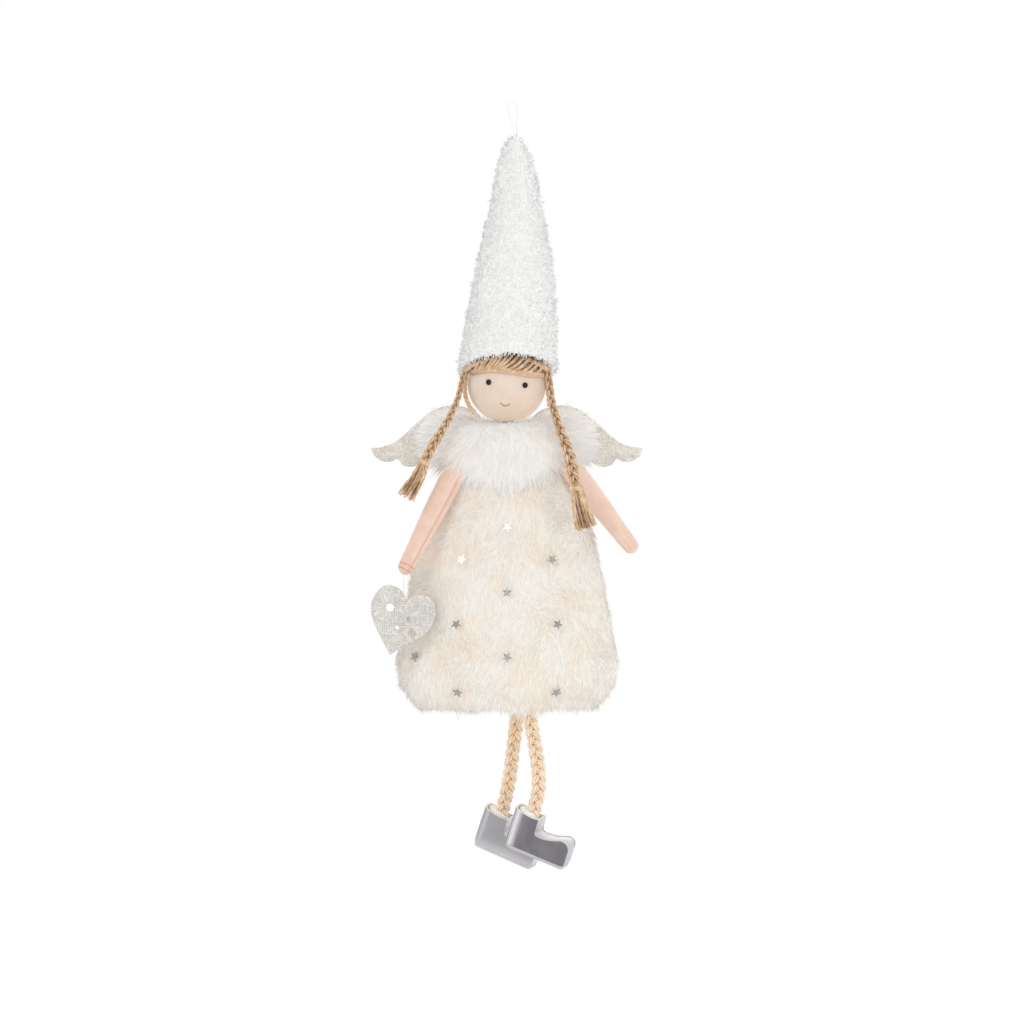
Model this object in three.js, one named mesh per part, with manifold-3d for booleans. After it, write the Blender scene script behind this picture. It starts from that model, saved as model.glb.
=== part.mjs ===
// Hanging plush angel doll: a stuffed dress body under a tall fleece hat, with yarn braids, a fur collar,
// wings on the back, stuffed arms, a heart charm on one hand, rope legs and soft boots.
// Millimetres, +Z up, the doll faces -Y and the origin is the top of the hanging loop.
import * as THREE from 'three';
import { mergeVertices } from 'three/addons/utils/BufferGeometryUtils.js';
import Module from 'manifold-3d';

const wasm = await Module();
wasm.setup();

// Gaps between neighbouring pieces
const SEAM_GAP = 0.3;
const MOVING_GAP = 0.6;

// Hanging thread: up the front of the hat, round the top and down again
const THREAD_DIAMETER = 0.6;
const KNOT_RADIUS = 0.9;
const LOOP_ROUTE = [
  [4.4, -12.1, -41.4], [3.9, -11.7, -37.5], [3.2, -11.0, -31.6], [2.3, -9.7, -23.6], [1.6, -7.4, -18],
  [0.9, -4.6, -13.2], [0.2, -2.9, -10], [-0.8, -1.6, -6.5], [-1.5, -0.7, -3.4], [-1.6, -0.2, -1.5],
  [-1.0, 0, -0.2], [0, 0, 0.3], [1.0, 0, -0.2], [1.7, -0.2, -1.5], [1.9, -0.7, -3.4], [1.9, -1.6, -6.5],
  [1.8, -2.9, -10], [2.2, -4.6, -13.2], [2.8, -7.4, -18], [3.5, -9.7, -23.6], [4.4, -11.0, -31.6],
  [5.1, -11.7, -37.5], [5.3, -12.1, -41.4],
];

// Hat: a tall fleece cone whose rim is tipped up at the front
const HAT_TIP = { x: 1.2, z: -12 };
const HAT_HEIGHT = 96.4;
const HAT_RIM_RADIUS = 20.6;
// Sideways bow of the hat at its mid height
const HAT_BOW = 1.6;
const HAT_WALL = 2;
const HAT_RIM_TILT = 20;
const HAT_SIDES = 24;
// Share of the height below the tip, and share of the rim's radius there
const HAT_SHAPE = [[0.012, 0.1], [0.05, 0.22], [0.12, 0.39], [0.2, 0.455], [0.29, 0.5], [0.37, 0.6],
  [0.46, 0.7], [0.58, 0.79], [0.7, 0.87], [0.86, 0.94], [1, 1], [1.12, 1.01]];
const HAT_FILL_DEPTH = 74;
// The wall is thicker towards the tip by this share
const HAT_TIP_WALL = 1.4;

// Head, face and hair
const HEAD_RADIUS = 15.9;
const HEAD_X = -2;
const HAT_SEAT = 4.4;
const SKIN = 0.8;
const NECK_RADIUS = 5;
const NECK_HEIGHT = 12;
const HAIR_THICKNESS = 1.5;
const FRINGE_BOTTOM = 3.6;
// The fringe's top and back edges as shares of the head's radius
const FRINGE_TOP = 0.86;
const FRINGE_BACK = 0.12;
const EYE_RADIUS = 1.15;
const EYE_SPACING = 14.4;
const EYE_DROP = 0.6;
const FACE_TILT = 4.8;
const MOUTH_DROP = 8.8;
const MOUTH_WIDTH = 4;
const MOUTH_SAG = 1.1;
const MOUTH_THREAD = 0.5;
const YARN_DIAMETER = 1.5;
// Stray yarn end beside the cheek, from the head's centre
const STRAY_ROUTE = [[-16.4, -5.4, 2.4], [-16.8, -4.6, -1.6], [-16.4, -4.6, -6], [-14.6, -5.4, -10],
  [-12.6, -6.4, -11.8]];

// Braids: routes from the head's centre, radii along them, and the flared ends below the ties
const BRAIDS = {
  left: {
    route: [[-17.2, -6.2, 4.6], [-18.2, -8.8, -1], [-20, -12.6, -7.6], [-22.8, -17, -14],
      [-26.4, -20.8, -20.4], [-29.6, -23, -25.6], [-32, -24.4, -30.4]],
    radii: [1.2, 1.25, 1.3, 1.45, 1.7, 2.1, 2.1],
    tail: [[-33.4, -25, -33.4], [-35.4, -25.8, -38], [-38, -26.4, -42.8]],
    tailRadii: [1.8, 3.4, 3.5],
  },
  right: {
    route: [[16.4, -6.4, 4.6], [17, -9, -1], [17.8, -12.8, -7.6], [19.4, -17, -14], [21.8, -21, -20.8],
      [24.2, -23.4, -27.6], [25.9, -24.6, -34.8], [26.8, -24.8, -40.4]],
    radii: [1.4, 1.5, 1.6, 1.75, 2, 2.3, 2.7, 2.3],
    tail: [[27.6, -24.9, -43.6], [28.8, -25, -49], [30.6, -25, -56]],
    tailRadii: [2, 3.1, 3.9],
  },
};
const TIE_LENGTH = 2;
const TIE_WALL = 0.5;

// Dress: an oval cone of plush, widest just above the hem
const DRESS_LENGTH = 104.4;
const DRESS_HALF_WIDTH = 44;
const DRESS_DEPTH_RATIO = 0.6;
const DRESS_WALL = 2;
const DRESS_SIDES = 30;
const NECK_SHOWN = 6;
// Share of the length below the neck edge, and share of the greatest half width there
const DRESS_SHAPE = [[0, 0.16], [0.02, 0.29], [0.06, 0.4], [0.115, 0.5], [0.17, 0.585], [0.23, 0.66],
  [0.33, 0.75], [0.46, 0.835], [0.61, 0.9], [0.77, 0.965], [0.86, 1], [0.93, 0.97], [0.975, 0.89], [1, 0.78]];
const BASE_THICKNESS = 1.6;

// Silver stars in a half-drop pattern on the front of the dress
const STAR_RADIUS = 2.4;
const STAR_INNER_RADIUS = 1.05;
const STAR_THICKNESS = 0.5;
const STAR_COLUMN_STEP = 28;
// The first row's drop and the step between rows as shares of the dress's length
const STAR_FIRST_SHARE = 0.34483;
const STAR_ROW_SHARE = 0.24521;
const STAR_ROWS = 3;

// Fur collar: an oval ring, deeper at the front
const COLLAR_HALF_WIDTH = 30.4;
const COLLAR_HALF_DEPTH = 22;
const COLLAR_HOLE_RADIUS = 7;
const COLLAR_SIDE_HEIGHT = 17;
const COLLAR_FRONT_HEIGHT = 33;
const COLLAR_BACK_HEIGHT = 22;
const COLLAR_TOP_RISE = 6.4;

// Arms: seats on the dress as an angle round it and a drop below its neck edge
const ARM_RADII = [4.4, 4.7, 4.6, 4.2, 3.6, 2.9];
const ARMS = {
  left: { length: 50, seatAngle: 221, drop: 10.4, spread: 27, lean: 13, reach: [0, 35] },
  right: { length: 48.4, seatAngle: -24, drop: 7.4, spread: 37.5, lean: 5, reach: [0, 30] },
};

// Heart charm: two glitter faces on a foam core that holds the thread
const HEART_WIDTH = 26;
const HEART_HEIGHT = 25;
const HEART_FACE = 0.7;
const HEART_GLUE = 0.1;
const HEART_CORE = 1.2;
const HEART_TILT = -17;
const HEART_THREAD_DIAMETER = 0.5;
const HEART_THREAD_SPREAD = 0.8;
const HEART_THREAD_SHOWN = 10.7;
const HEART_THREAD_SUNK = 6.5;
// Cut-outs as across, up from the cleft's foot, and radius
const HEART_HOLES = [[-5.4, -3.6, 1.7], [5.9, -10.8, 1.4], [3.2, -6.0, 0.9], [-0.4, -10.4, 0.9]];
// Right half from cleft to point: two handles and an end per curve, as shares of half width and height
const HEART_CURVES = [[0.1, 0.18, 0.42, 0.21, 0.6, 0.2], [0.9, 0.17, 1.08, -0.06, 0.95, -0.27],
  [0.8, -0.48, 0.3, -0.68, 0, -0.86]];

// Wings: outline from the middle of the back, across and up
const WING_THICKNESS = 1.4;
const WING_DROP = 0.2;
const WING_TOP = [[6, 4], [13, 11.5], [22, 14], [29, 12.2], [36.5, 6.6], [44.8, -0.6], [50, -2.8],
  [55, -3.4]];
const WING_BOTTOM = [[53.6, -6.6], [50.4, -8.6], [46.8, -8.8], [44.4, -7.6], [42.4, -10], [38.4, -10.9],
  [34.6, -9.4], [32.6, -7.2], [29, -9.2], [22, -9.6], [14, -7.6], [6, -6]];
const WING_FUR_TOP = [[8, 4.4], [14, 10.8], [22, 13.2], [28.4, 11.6], [33, 7.4]];
const WING_FUR_BOTTOM = [[33.6, 0], [32, -5.6], [28, -8], [21, -8.6], [14, -6.8], [8, -4.6]];
const WING_FUR_THICKNESS = 2.6;
const PATCH_WIDTH = 11;
const PATCH_HEIGHT = 17;
const PATCH_THICKNESS = 2;

// Legs: rope routes from the hip ends down into the boots
const ROPE_DIAMETER = 5.2;
const HIP_KNOT_RADIUS = 3.6;
const LEGS = {
  left: {
    hip: [4, 4.3],
    route: [[0, 0, 0], [-0.3, 0.2, -7], [-1.6, 0.6, -17.5], [-3.1, 1.2, -29.7], [-5.8, 2.2, -41.6],
      [-8, 4.2, -48.7]],
  },
  right: {
    hip: [8.8, -4.3],
    route: [[0, 0, 0], [0.9, -0.8, -7], [2.5, -2.2, -16], [3.8, -3.9, -26], [3.6, -5.4, -34],
      [1.8, -6.3, -41], [-0.4, -4.2, -48]],
  },
};
const ROPE_STEP = 8;

// Boots: a tall shaft with a rounded foot, toes turned towards the viewer's right
const BOOT_LENGTH = 26.5;
const BOOT_SHAFT_WIDTH = 11.4;
const BOOT_HEIGHT = 17;
const BOOT_TOE_HEIGHT = 11.2;
const BOOT_INSTEP_HEIGHT = 9;
// Rounding of the toe cap, and of the bend from the instep up into the shaft
const TOE_EDGE = 0.6;
const TOE_RISE = 2;
const TOE_ROUND = 3.2;
const INSTEP_REACH = 6;
const INSTEP_BEND = 2.5;
const BOOT_THICKNESS = 9.4;
const BOOT_WALL = 0.9;
const BOOT_CORNER = 3.4;
const BOOT_YAW = 18;
const BOOT_ROLL = 10;
const BOOT_PITCH = { left: 22, right: 21 };
const SOLE_THICKNESS = 1;
const ROPE_SEAT = { along: 6.8, up: 9.4 };
const ROPE_GRIP = 0.5;

// Colours
const WHITE_FLEECE = '#f1efec';
const SKIN_COLOUR = '#ecd6bd';
const YARN_COLOUR = '#c19a6b';
const COLLAR_WHITE = '#efeeec';
const DRESS_CREAM = '#f1e8dc';
const ARM_PINK = '#eebfae';
const GLITTER_SILVER = '#c9c4ba';
const HEART_SILVER = '#bcb8b0';
const ROPE_COLOUR = '#dcbd94';
const BOOT_SILVER = '#9b9aa0';
const LINING_WHITE = '#eceae6';
const FOIL_GREY = '#8f8e90';
const EYE_BLACK = '#171412';
const MOUTH_RED = '#c9686a';
const FILLING_WHITE = '#f4f3f0';

const radians = THREE.MathUtils.degToRad;

function fabric(colour, roughness = 0.9, metalness = 0) {
  return new THREE.MeshStandardMaterial({ color: colour, roughness, metalness });
}

// A geometry as a closed solid with its faces outwards
function solid(geometry) {
  const bare = geometry.index ? geometry.toNonIndexed() : geometry.clone();
  bare.deleteAttribute('normal');
  bare.deleteAttribute('uv');
  const merged = mergeVertices(bare, 1e-4);
  const places = merged.getAttribute('position').array;
  let triangles = [];
  const index = merged.index.array;
  for (let i = 0; i < index.length; i += 3) {
    const [a, b, c] = [index[i], index[i + 1], index[i + 2]];
    if (a !== b && b !== c && c !== a) triangles.push(a, b, c);
  }
  if (signedVolume(places, triangles) < 0) triangles = triangles.reverse();
  const mesh = new wasm.Mesh({
    numProp: 3,
    vertProperties: new Float32Array(places),
    triVerts: new Uint32Array(triangles),
  });
  return new wasm.Manifold(mesh);
}

function signedVolume(places, triangles) {
  const corner = (i) => new THREE.Vector3(places[3 * i], places[3 * i + 1], places[3 * i + 2]);
  let sum = 0;
  for (let i = 0; i < triangles.length; i += 3) {
    sum += corner(triangles[i]).dot(corner(triangles[i + 1]).cross(corner(triangles[i + 2])));
  }
  return sum / 6;
}

function geometryOf(manifold) {
  const mesh = manifold.getMesh();
  const geometry = new THREE.BufferGeometry();
  geometry.setAttribute('position', new THREE.BufferAttribute(new Float32Array(mesh.vertProperties), 3));
  geometry.setIndex(new THREE.BufferAttribute(new Uint32Array(mesh.triVerts), 1));
  geometry.computeVertexNormals();
  return geometry;
}

function add(group, name, manifold, material) {
  const mesh = new THREE.Mesh(geometryOf(manifold), material);
  mesh.name = name;
  group.add(mesh);
  return mesh;
}

// A turned shape about Z from [radius, height] pairs that start and end on the axis
function turned(profile, sides) {
  const points = profile.map(([radius, height]) => new THREE.Vector2(Math.max(radius, 0), height));
  return new THREE.LatheGeometry(points, sides).rotateX(Math.PI / 2);
}

// A plain upright rod about Z
function rod(radius, bottom, top, sides) {
  return turned([[0, bottom], [radius, bottom], [radius, top], [0, top]], sides);
}

function ball(radius, sides = 20, rings = 12) {
  return new THREE.SphereGeometry(radius, sides, rings).rotateX(Math.PI / 2);
}

function curveThrough(points) {
  return new THREE.CatmullRomCurve3(points.map((p) => new THREE.Vector3(...p)), false, 'centripetal');
}

// A stuffed limb: a round section of changing radius along a curve, with round ends
function limb(curve, radii, sides, rings) {
  const length = curve.getLength();
  const capRings = 3;
  const radiusAt = (share) => {
    const place = share * (radii.length - 1);
    const low = Math.min(Math.floor(place), radii.length - 2);
    return THREE.MathUtils.lerp(radii[low], radii[low + 1], place - low);
  };
  const profile = [];
  for (let k = 0; k < capRings; k += 1) {
    const angle = (k / capRings) * Math.PI / 2;
    profile.push([radii[0] * Math.sin(angle), -radii[0] * Math.cos(angle)]);
  }
  for (let k = 0; k <= rings; k += 1) profile.push([radiusAt(k / rings), (length * k) / rings]);
  const end = radii[radii.length - 1];
  for (let k = capRings - 1; k >= 0; k -= 1) {
    const angle = (k / capRings) * Math.PI / 2;
    profile.push([end * Math.sin(angle), length + end * Math.cos(angle)]);
  }
  const shape = turned(profile, sides);
  const places = shape.getAttribute('position');
  const across = new THREE.Vector3(0, 1, 0);
  for (let i = 0; i < places.count; i += 1) {
    const along = places.getZ(i);
    const share = THREE.MathUtils.clamp(along / length, 0, 1);
    const tangent = curve.getTangentAt(share);
    const side = new THREE.Vector3().crossVectors(across, tangent).normalize();
    const front = new THREE.Vector3().crossVectors(tangent, side);
    const point = curve.getPointAt(share).addScaledVector(tangent, along - share * length);
    point.addScaledVector(side, places.getX(i)).addScaledVector(front, places.getY(i));
    places.setXYZ(i, point.x, point.y, point.z);
  }
  return shape;
}

// A plain cord along a curve
function cord(curve, diameter, sides, steps) {
  const section = new THREE.Shape();
  for (let k = 0; k < sides; k += 1) {
    const angle = (2 * Math.PI * k) / sides;
    const [x, y] = [Math.cos(angle) * diameter / 2, Math.sin(angle) * diameter / 2];
    if (k === 0) section.moveTo(x, y);
    else section.lineTo(x, y);
  }
  section.closePath();
  return new THREE.ExtrudeGeometry(section, { steps, extrudePath: curve, bevelEnabled: false });
}

// A flat piece cut from an outline in the front view, centred on Y = 0
function cutOut(shape, thickness, curveSegments = 6) {
  const piece = new THREE.ExtrudeGeometry(shape, { depth: thickness, bevelEnabled: false, curveSegments });
  return piece.translate(0, 0, -thickness / 2).rotateX(Math.PI / 2);
}

function placed(geometry, x, y, z) {
  return geometry.clone().translate(x, y, z);
}

// A half space as a large box, to split or trim a solid, and how far a cutter runs past a face
const FAR = 400;
const OVERRUN = 1;
function block(x0, x1, y0, y1, z0, z1) {
  const box = new THREE.BoxGeometry(x1 - x0, y1 - y0, z1 - z0);
  return box.translate((x0 + x1) / 2, (y0 + y1) / 2, (z0 + z1) / 2);
}

// Heights that follow from the driving sizes
const hatRimZ = HAT_TIP.z - HAT_HEIGHT;
const head = new THREE.Vector3(HEAD_X, 0, hatRimZ - HAT_SEAT);
const neckTopZ = head.z - HEAD_RADIUS - SEAM_GAP;
const dressTopZ = neckTopZ - NECK_SHOWN;
const dressBottomZ = dressTopZ - DRESS_LENGTH;
const fromHead = (points) => points.map(([x, y, z]) => [head.x + x, head.y + y, head.z + z]);

const doll = new THREE.Group();

function hangingLoop() {
  const group = new THREE.Group();
  const curve = curveThrough(LOOP_ROUTE);
  const steps = Math.round(curve.getLength() / (3 * THREAD_DIAMETER));
  add(group, 'hanging_loop', solid(cord(curve, THREAD_DIAMETER, 8, steps)), fabric(WHITE_FLEECE, 0.7));
  const [first, last] = [LOOP_ROUTE[0], LOOP_ROUTE[LOOP_ROUTE.length - 1]];
  const knot = ball(KNOT_RADIUS, 12, 8);
  const knotZ = Math.min(first[2], last[2]) - KNOT_RADIUS - SEAM_GAP;
  knot.translate((first[0] + last[0]) / 2, (first[1] + last[1]) / 2, knotZ);
  add(group, 'loop_knot', solid(knot), fabric(WHITE_FLEECE, 0.7));
  return group;
}

// The hat leans and bows so that its tip stands over HAT_TIP.x while its rim is centred on the head
function hatProfile(inset, scale) {
  const low = inset * scale;
  const outer = HAT_SHAPE.map(([drop, radius]) => [
    HAT_RIM_RADIUS * radius - inset,
    HAT_TIP.z - HAT_HEIGHT * drop - low,
  ]);
  return [[0, HAT_TIP.z - low * scale], ...outer.filter(([radius]) => radius > 0)];
}

function leaned(geometry) {
  const places = geometry.getAttribute('position');
  const lean = (HAT_TIP.x - HEAD_X) / HAT_HEIGHT;
  for (let i = 0; i < places.count; i += 1) {
    const rise = places.getZ(i) - hatRimZ;
    const share = THREE.MathUtils.clamp(rise / HAT_HEIGHT, 0, 1);
    const bow = 4 * HAT_BOW * share * (1 - share);
    places.setX(i, places.getX(i) + HEAD_X + lean * rise + bow);
  }
  return geometry;
}

function hatOuter(inset, scale, sides) {
  const profile = hatProfile(inset, scale);
  const lowest = profile[profile.length - 1][1];
  return leaned(turned([...profile, [0, lowest]], sides));
}

function hat() {
  const group = new THREE.Group();
  const belowRim = block(-FAR, FAR, -FAR, FAR, -2 * FAR, 0).rotateX(-radians(HAT_RIM_TILT));
  const trim = solid(belowRim.translate(0, 0, hatRimZ));
  const hollow = solid(hatOuter(HAT_WALL, HAT_TIP_WALL, HAT_SIDES));
  const shell = solid(hatOuter(0, 1, HAT_SIDES)).subtract(hollow).subtract(trim);
  add(group, 'hat_fleece', shell, fabric(WHITE_FLEECE, 0.95));
  const room = HAT_WALL + SEAM_GAP;
  const deep = solid(block(-FAR, FAR, -FAR, FAR, HAT_TIP.z - HAT_FILL_DEPTH, FAR));
  const clear = solid(placed(ball(HEAD_RADIUS + HAIR_THICKNESS + 2 * SEAM_GAP), head.x, head.y, head.z));
  const filling = solid(hatOuter(room, HAT_TIP_WALL, 16)).intersect(deep).subtract(clear);
  add(group, 'hat_filling', filling, fabric(FILLING_WHITE));
  return group;
}

// The point on the head's skin in front of a place in the front view, and the way out from it
function onFace(across, up) {
  const tilt = radians(-FACE_TILT);
  const x = across * Math.cos(tilt) - up * Math.sin(tilt);
  const z = across * Math.sin(tilt) + up * Math.cos(tilt);
  const depth = Math.sqrt(HEAD_RADIUS ** 2 - x ** 2 - z ** 2);
  return new THREE.Vector3(x, -depth, z);
}

function headPieces() {
  const group = new THREE.Group();
  group.position.copy(head);
  const [half, low] = [NECK_RADIUS / 3, -2 * HEAD_RADIUS];
  const mouth = block(-half, half, -half, half, low, low / 4);
  const hollow = solid(ball(HEAD_RADIUS - SKIN, 14, 8));
  const skin = solid(ball(HEAD_RADIUS, 24, 14)).subtract(hollow).subtract(solid(mouth));
  add(group, 'head_skin', skin, fabric(SKIN_COLOUR, 0.85));
  add(group, 'head_filling', solid(ball(HEAD_RADIUS - SKIN - 2 * SEAM_GAP, 14, 8)), fabric(FILLING_WHITE));
  [['left_eye', -1], ['right_eye', 1]].forEach(([name, side]) => {
    const seat = onFace(side * EYE_SPACING / 2, -EYE_DROP);
    const out = seat.clone().normalize();
    const eye = add(group, name, solid(ball(EYE_RADIUS, 12, 8).scale(1, 1, 0.5)), fabric(EYE_BLACK, 0.25));
    eye.quaternion.setFromUnitVectors(new THREE.Vector3(0, 0, 1), out);
    eye.position.copy(seat).addScaledVector(out, EYE_RADIUS / 2 + SEAM_GAP / 2);
  });
  const lift = 1 + (MOUTH_THREAD / 2 + SEAM_GAP / 2) / HEAD_RADIUS;
  const smile = [-1, -0.5, 0, 0.5, 1].map((share) => {
    const sag = MOUTH_SAG * (0.5 - share ** 2);
    return onFace(share * MOUTH_WIDTH / 2, -MOUTH_DROP - sag).multiplyScalar(lift).toArray();
  });
  add(group, 'mouth_stitch', solid(cord(curveThrough(smile), MOUTH_THREAD, 6, 8)), fabric(MOUTH_RED));
  return group;
}

// The room that a braid's root takes from the hair beside it, from the head's centre
function braidRoom(side) {
  const { route, radii } = BRAIDS[side];
  return solid(limb(curveThrough(route), radii.map((radius) => radius + MOVING_GAP), 10, 10));
}

// Hair over the forehead: a shell of yarn round the front of the head, under the hat's rim
function hair() {
  const group = new THREE.Group();
  group.position.copy(head);
  const inner = solid(ball(HEAD_RADIUS + SEAM_GAP, 24, 14));
  const outer = solid(ball(HEAD_RADIUS + SEAM_GAP + HAIR_THICKNESS, 24, 14));
  const hatRoom = hatOuter(HAT_WALL + SEAM_GAP, HAT_TIP_WALL, HAT_SIDES).translate(-head.x, -head.y, -head.z);
  const span = HEAD_RADIUS + 2 * HAIR_THICKNESS;
  const back = -HEAD_RADIUS * FRINGE_BACK;
  const window = block(-span, span, -span, back, FRINGE_BOTTOM, HEAD_RADIUS * FRINGE_TOP);
  const band = outer.subtract(inner).intersect(solid(hatRoom)).intersect(solid(window));
  const fringe = band.subtract(braidRoom('left')).subtract(braidRoom('right'));
  add(group, 'hair_fringe', fringe, fabric(YARN_COLOUR));
  const stray = limb(curveThrough(STRAY_ROUTE), [YARN_DIAMETER / 2, YARN_DIAMETER / 2], 8, 8);
  add(group, 'stray_yarn', solid(stray), fabric(YARN_COLOUR));
  return group;
}

function braid(side) {
  const group = new THREE.Group();
  const { route, radii, tail, tailRadii } = BRAIDS[side];
  const plait = curveThrough(fromHead(route));
  const last = radii[radii.length - 1];
  const ends = curveThrough(fromHead(tail));
  const middle = fromHead([route[route.length - 1]])[0];
  const start = fromHead([tail[0]])[0];
  const tieMiddle = new THREE.Vector3(...middle).lerp(new THREE.Vector3(...start), 0.5);
  const along = new THREE.Vector3(...start).sub(new THREE.Vector3(...middle)).normalize();
  const tieRadius = Math.max(last, tailRadii[0]) + SEAM_GAP + TIE_WALL;
  const tie = rod(tieRadius, -TIE_LENGTH / 2, TIE_LENGTH / 2, 12);
  const turn = new THREE.Quaternion().setFromUnitVectors(new THREE.Vector3(0, 0, 1), along);
  tie.applyQuaternion(turn).translate(tieMiddle.x, tieMiddle.y, tieMiddle.z);
  const plaitBody = (extra) => solid(limb(plait, radii.map((radius) => radius + extra), 10, 14));
  const tailBody = (extra) => solid(limb(ends, tailRadii.map((radius) => radius + extra), 10, 8));
  const wrap = solid(tie).subtract(plaitBody(SEAM_GAP)).subtract(tailBody(SEAM_GAP));
  add(group, `${side}_braid`, plaitBody(0), fabric(YARN_COLOUR));
  add(group, `${side}_braid_tie`, wrap, fabric(YARN_COLOUR));
  add(group, `${side}_braid_end`, tailBody(0).subtract(plaitBody(SEAM_GAP)), fabric(YARN_COLOUR));
  return group;
}

// The dress's half width at a height, and its oval body grown by a margin
function dressHalfWidth(z) {
  const drop = (dressTopZ - z) / DRESS_LENGTH;
  const shape = DRESS_SHAPE;
  const next = Math.max(1, shape.findIndex(([share]) => share >= drop));
  const [low, high] = [shape[next - 1], shape[next]];
  const share = THREE.MathUtils.clamp((drop - low[0]) / (high[0] - low[0]), 0, 1);
  return DRESS_HALF_WIDTH * THREE.MathUtils.lerp(low[1], high[1], share);
}

function dressBody(margin, sides) {
  const profile = DRESS_SHAPE.map(([drop, width]) => [
    DRESS_HALF_WIDTH * width + margin,
    dressTopZ - DRESS_LENGTH * drop,
  ]);
  const [top, bottom] = [profile[0][1], profile[profile.length - 1][1]];
  const ends = Math.max(margin, 0);
  const shape = turned([[0, top + ends], ...profile, [0, bottom - ends]], sides);
  const depth = (DRESS_HALF_WIDTH * DRESS_DEPTH_RATIO + margin) / (DRESS_HALF_WIDTH + margin);
  return shape.scale(1, depth, 1).translate(HEAD_X, 0, 0);
}

// A seat on the dress: the surface point at an angle and height, and the way out from it
function dressSeat(angle, z) {
  const around = (height, turn) => {
    const width = dressHalfWidth(height);
    const depth = width * DRESS_DEPTH_RATIO;
    return new THREE.Vector3(HEAD_X + width * Math.cos(turn), depth * Math.sin(turn), height);
  };
  const turn = radians(angle);
  const point = around(z, turn);
  const sideways = around(z, turn + 0.02).sub(around(z, turn - 0.02));
  const upwards = around(z + 0.5, turn).sub(around(z - 0.5, turn));
  return { point, out: sideways.cross(upwards).normalize() };
}

function legHips(side) {
  const [x, y] = LEGS[side].hip;
  return new THREE.Vector3(HEAD_X + x, y, dressBottomZ - SEAM_GAP - ROPE_DIAMETER / 2);
}

function hipKnot(side, extra) {
  const hip = legHips(side);
  const radius = HIP_KNOT_RADIUS + extra;
  const stem = ROPE_DIAMETER / 2 + extra;
  const middle = dressBottomZ + BASE_THICKNESS + SEAM_GAP + HIP_KNOT_RADIUS;
  const stub = rod(stem, dressBottomZ - extra, middle, 14);
  const knot = solid(placed(ball(radius, 12, 8), hip.x, hip.y, middle));
  return knot.add(solid(stub.translate(hip.x, hip.y, 0)));
}

// The neck's room: a rod round the neck's line, down from a height
function neckRod(extra, bottom, top) {
  return solid(rod(NECK_RADIUS + extra, bottom, top, 16).translate(HEAD_X, 0, 0));
}

// The room for stuffing inside the dress, above its base
function dressInside(margin, floor) {
  const trimmed = solid(block(-FAR, FAR, -FAR, FAR, floor, dressTopZ - DRESS_WALL));
  return solid(dressBody(-margin, 18)).intersect(trimmed);
}

function dress() {
  const group = new THREE.Group();
  const plush = fabric(DRESS_CREAM, 0.95);
  const openBelow = DRESS_SHAPE[DRESS_SHAPE.length - 1][1] * DRESS_HALF_WIDTH - DRESS_WALL;
  const ratio = (DRESS_HALF_WIDTH * DRESS_DEPTH_RATIO - DRESS_WALL) / (DRESS_HALF_WIDTH - DRESS_WALL);
  const oval = (radius, bottom, top) => {
    return solid(rod(radius, bottom, top, DRESS_SIDES).scale(1, ratio, 1).translate(HEAD_X, 0, 0));
  };
  const baseTop = dressBottomZ + BASE_THICKNESS;
  const mouth = oval(openBelow, dressBottomZ - OVERRUN, baseTop + DRESS_WALL);
  const neckHole = neckRod(SEAM_GAP, dressTopZ - NECK_HEIGHT, dressTopZ + OVERRUN);
  const hollow = dressInside(DRESS_WALL, baseTop + SEAM_GAP);
  const shell = solid(dressBody(0, DRESS_SIDES)).subtract(hollow).subtract(mouth).subtract(neckHole);
  const front = solid(block(-FAR, FAR, -FAR, -SEAM_GAP / 2, -FAR, FAR));
  const back = solid(block(-FAR, FAR, SEAM_GAP / 2, FAR, -FAR, FAR));
  add(group, 'dress_front', shell.intersect(front), plush);
  add(group, 'dress_back', shell.intersect(back), plush);
  const knots = hipKnot('left', SEAM_GAP).add(hipKnot('right', SEAM_GAP));
  add(group, 'dress_base', oval(openBelow - SEAM_GAP, dressBottomZ, baseTop).subtract(knots), plush);
  ['left', 'right'].forEach((side) => add(group, `${side}_hip_knot`, hipKnot(side, 0), fabric(ROPE_COLOUR)));
  const headRoom = solid(placed(ball(HEAD_RADIUS + SEAM_GAP, 24, 14), head.x, head.y, head.z));
  const neck = neckRod(0, neckTopZ - NECK_HEIGHT, neckTopZ).subtract(headRoom);
  add(group, 'neck', neck, fabric(SKIN_COLOUR, 0.85));
  const neckRoom = neckRod(SEAM_GAP, neckTopZ - NECK_HEIGHT - SEAM_GAP, neckTopZ);
  const filling = dressInside(DRESS_WALL + SEAM_GAP, baseTop + 2 * SEAM_GAP);
  add(group, 'body_filling', filling.subtract(knots).subtract(neckRoom), fabric(FILLING_WHITE));
  return group;
}

function starOutline() {
  const shape = new THREE.Shape();
  for (let k = 0; k < 10; k += 1) {
    const radius = k % 2 ? STAR_INNER_RADIUS : STAR_RADIUS;
    const angle = Math.PI / 2 + (k * Math.PI) / 5;
    const [x, y] = [radius * Math.cos(angle), radius * Math.sin(angle)];
    if (k === 0) shape.moveTo(x, y);
    else shape.lineTo(x, y);
  }
  shape.closePath();
  return shape;
}

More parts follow.
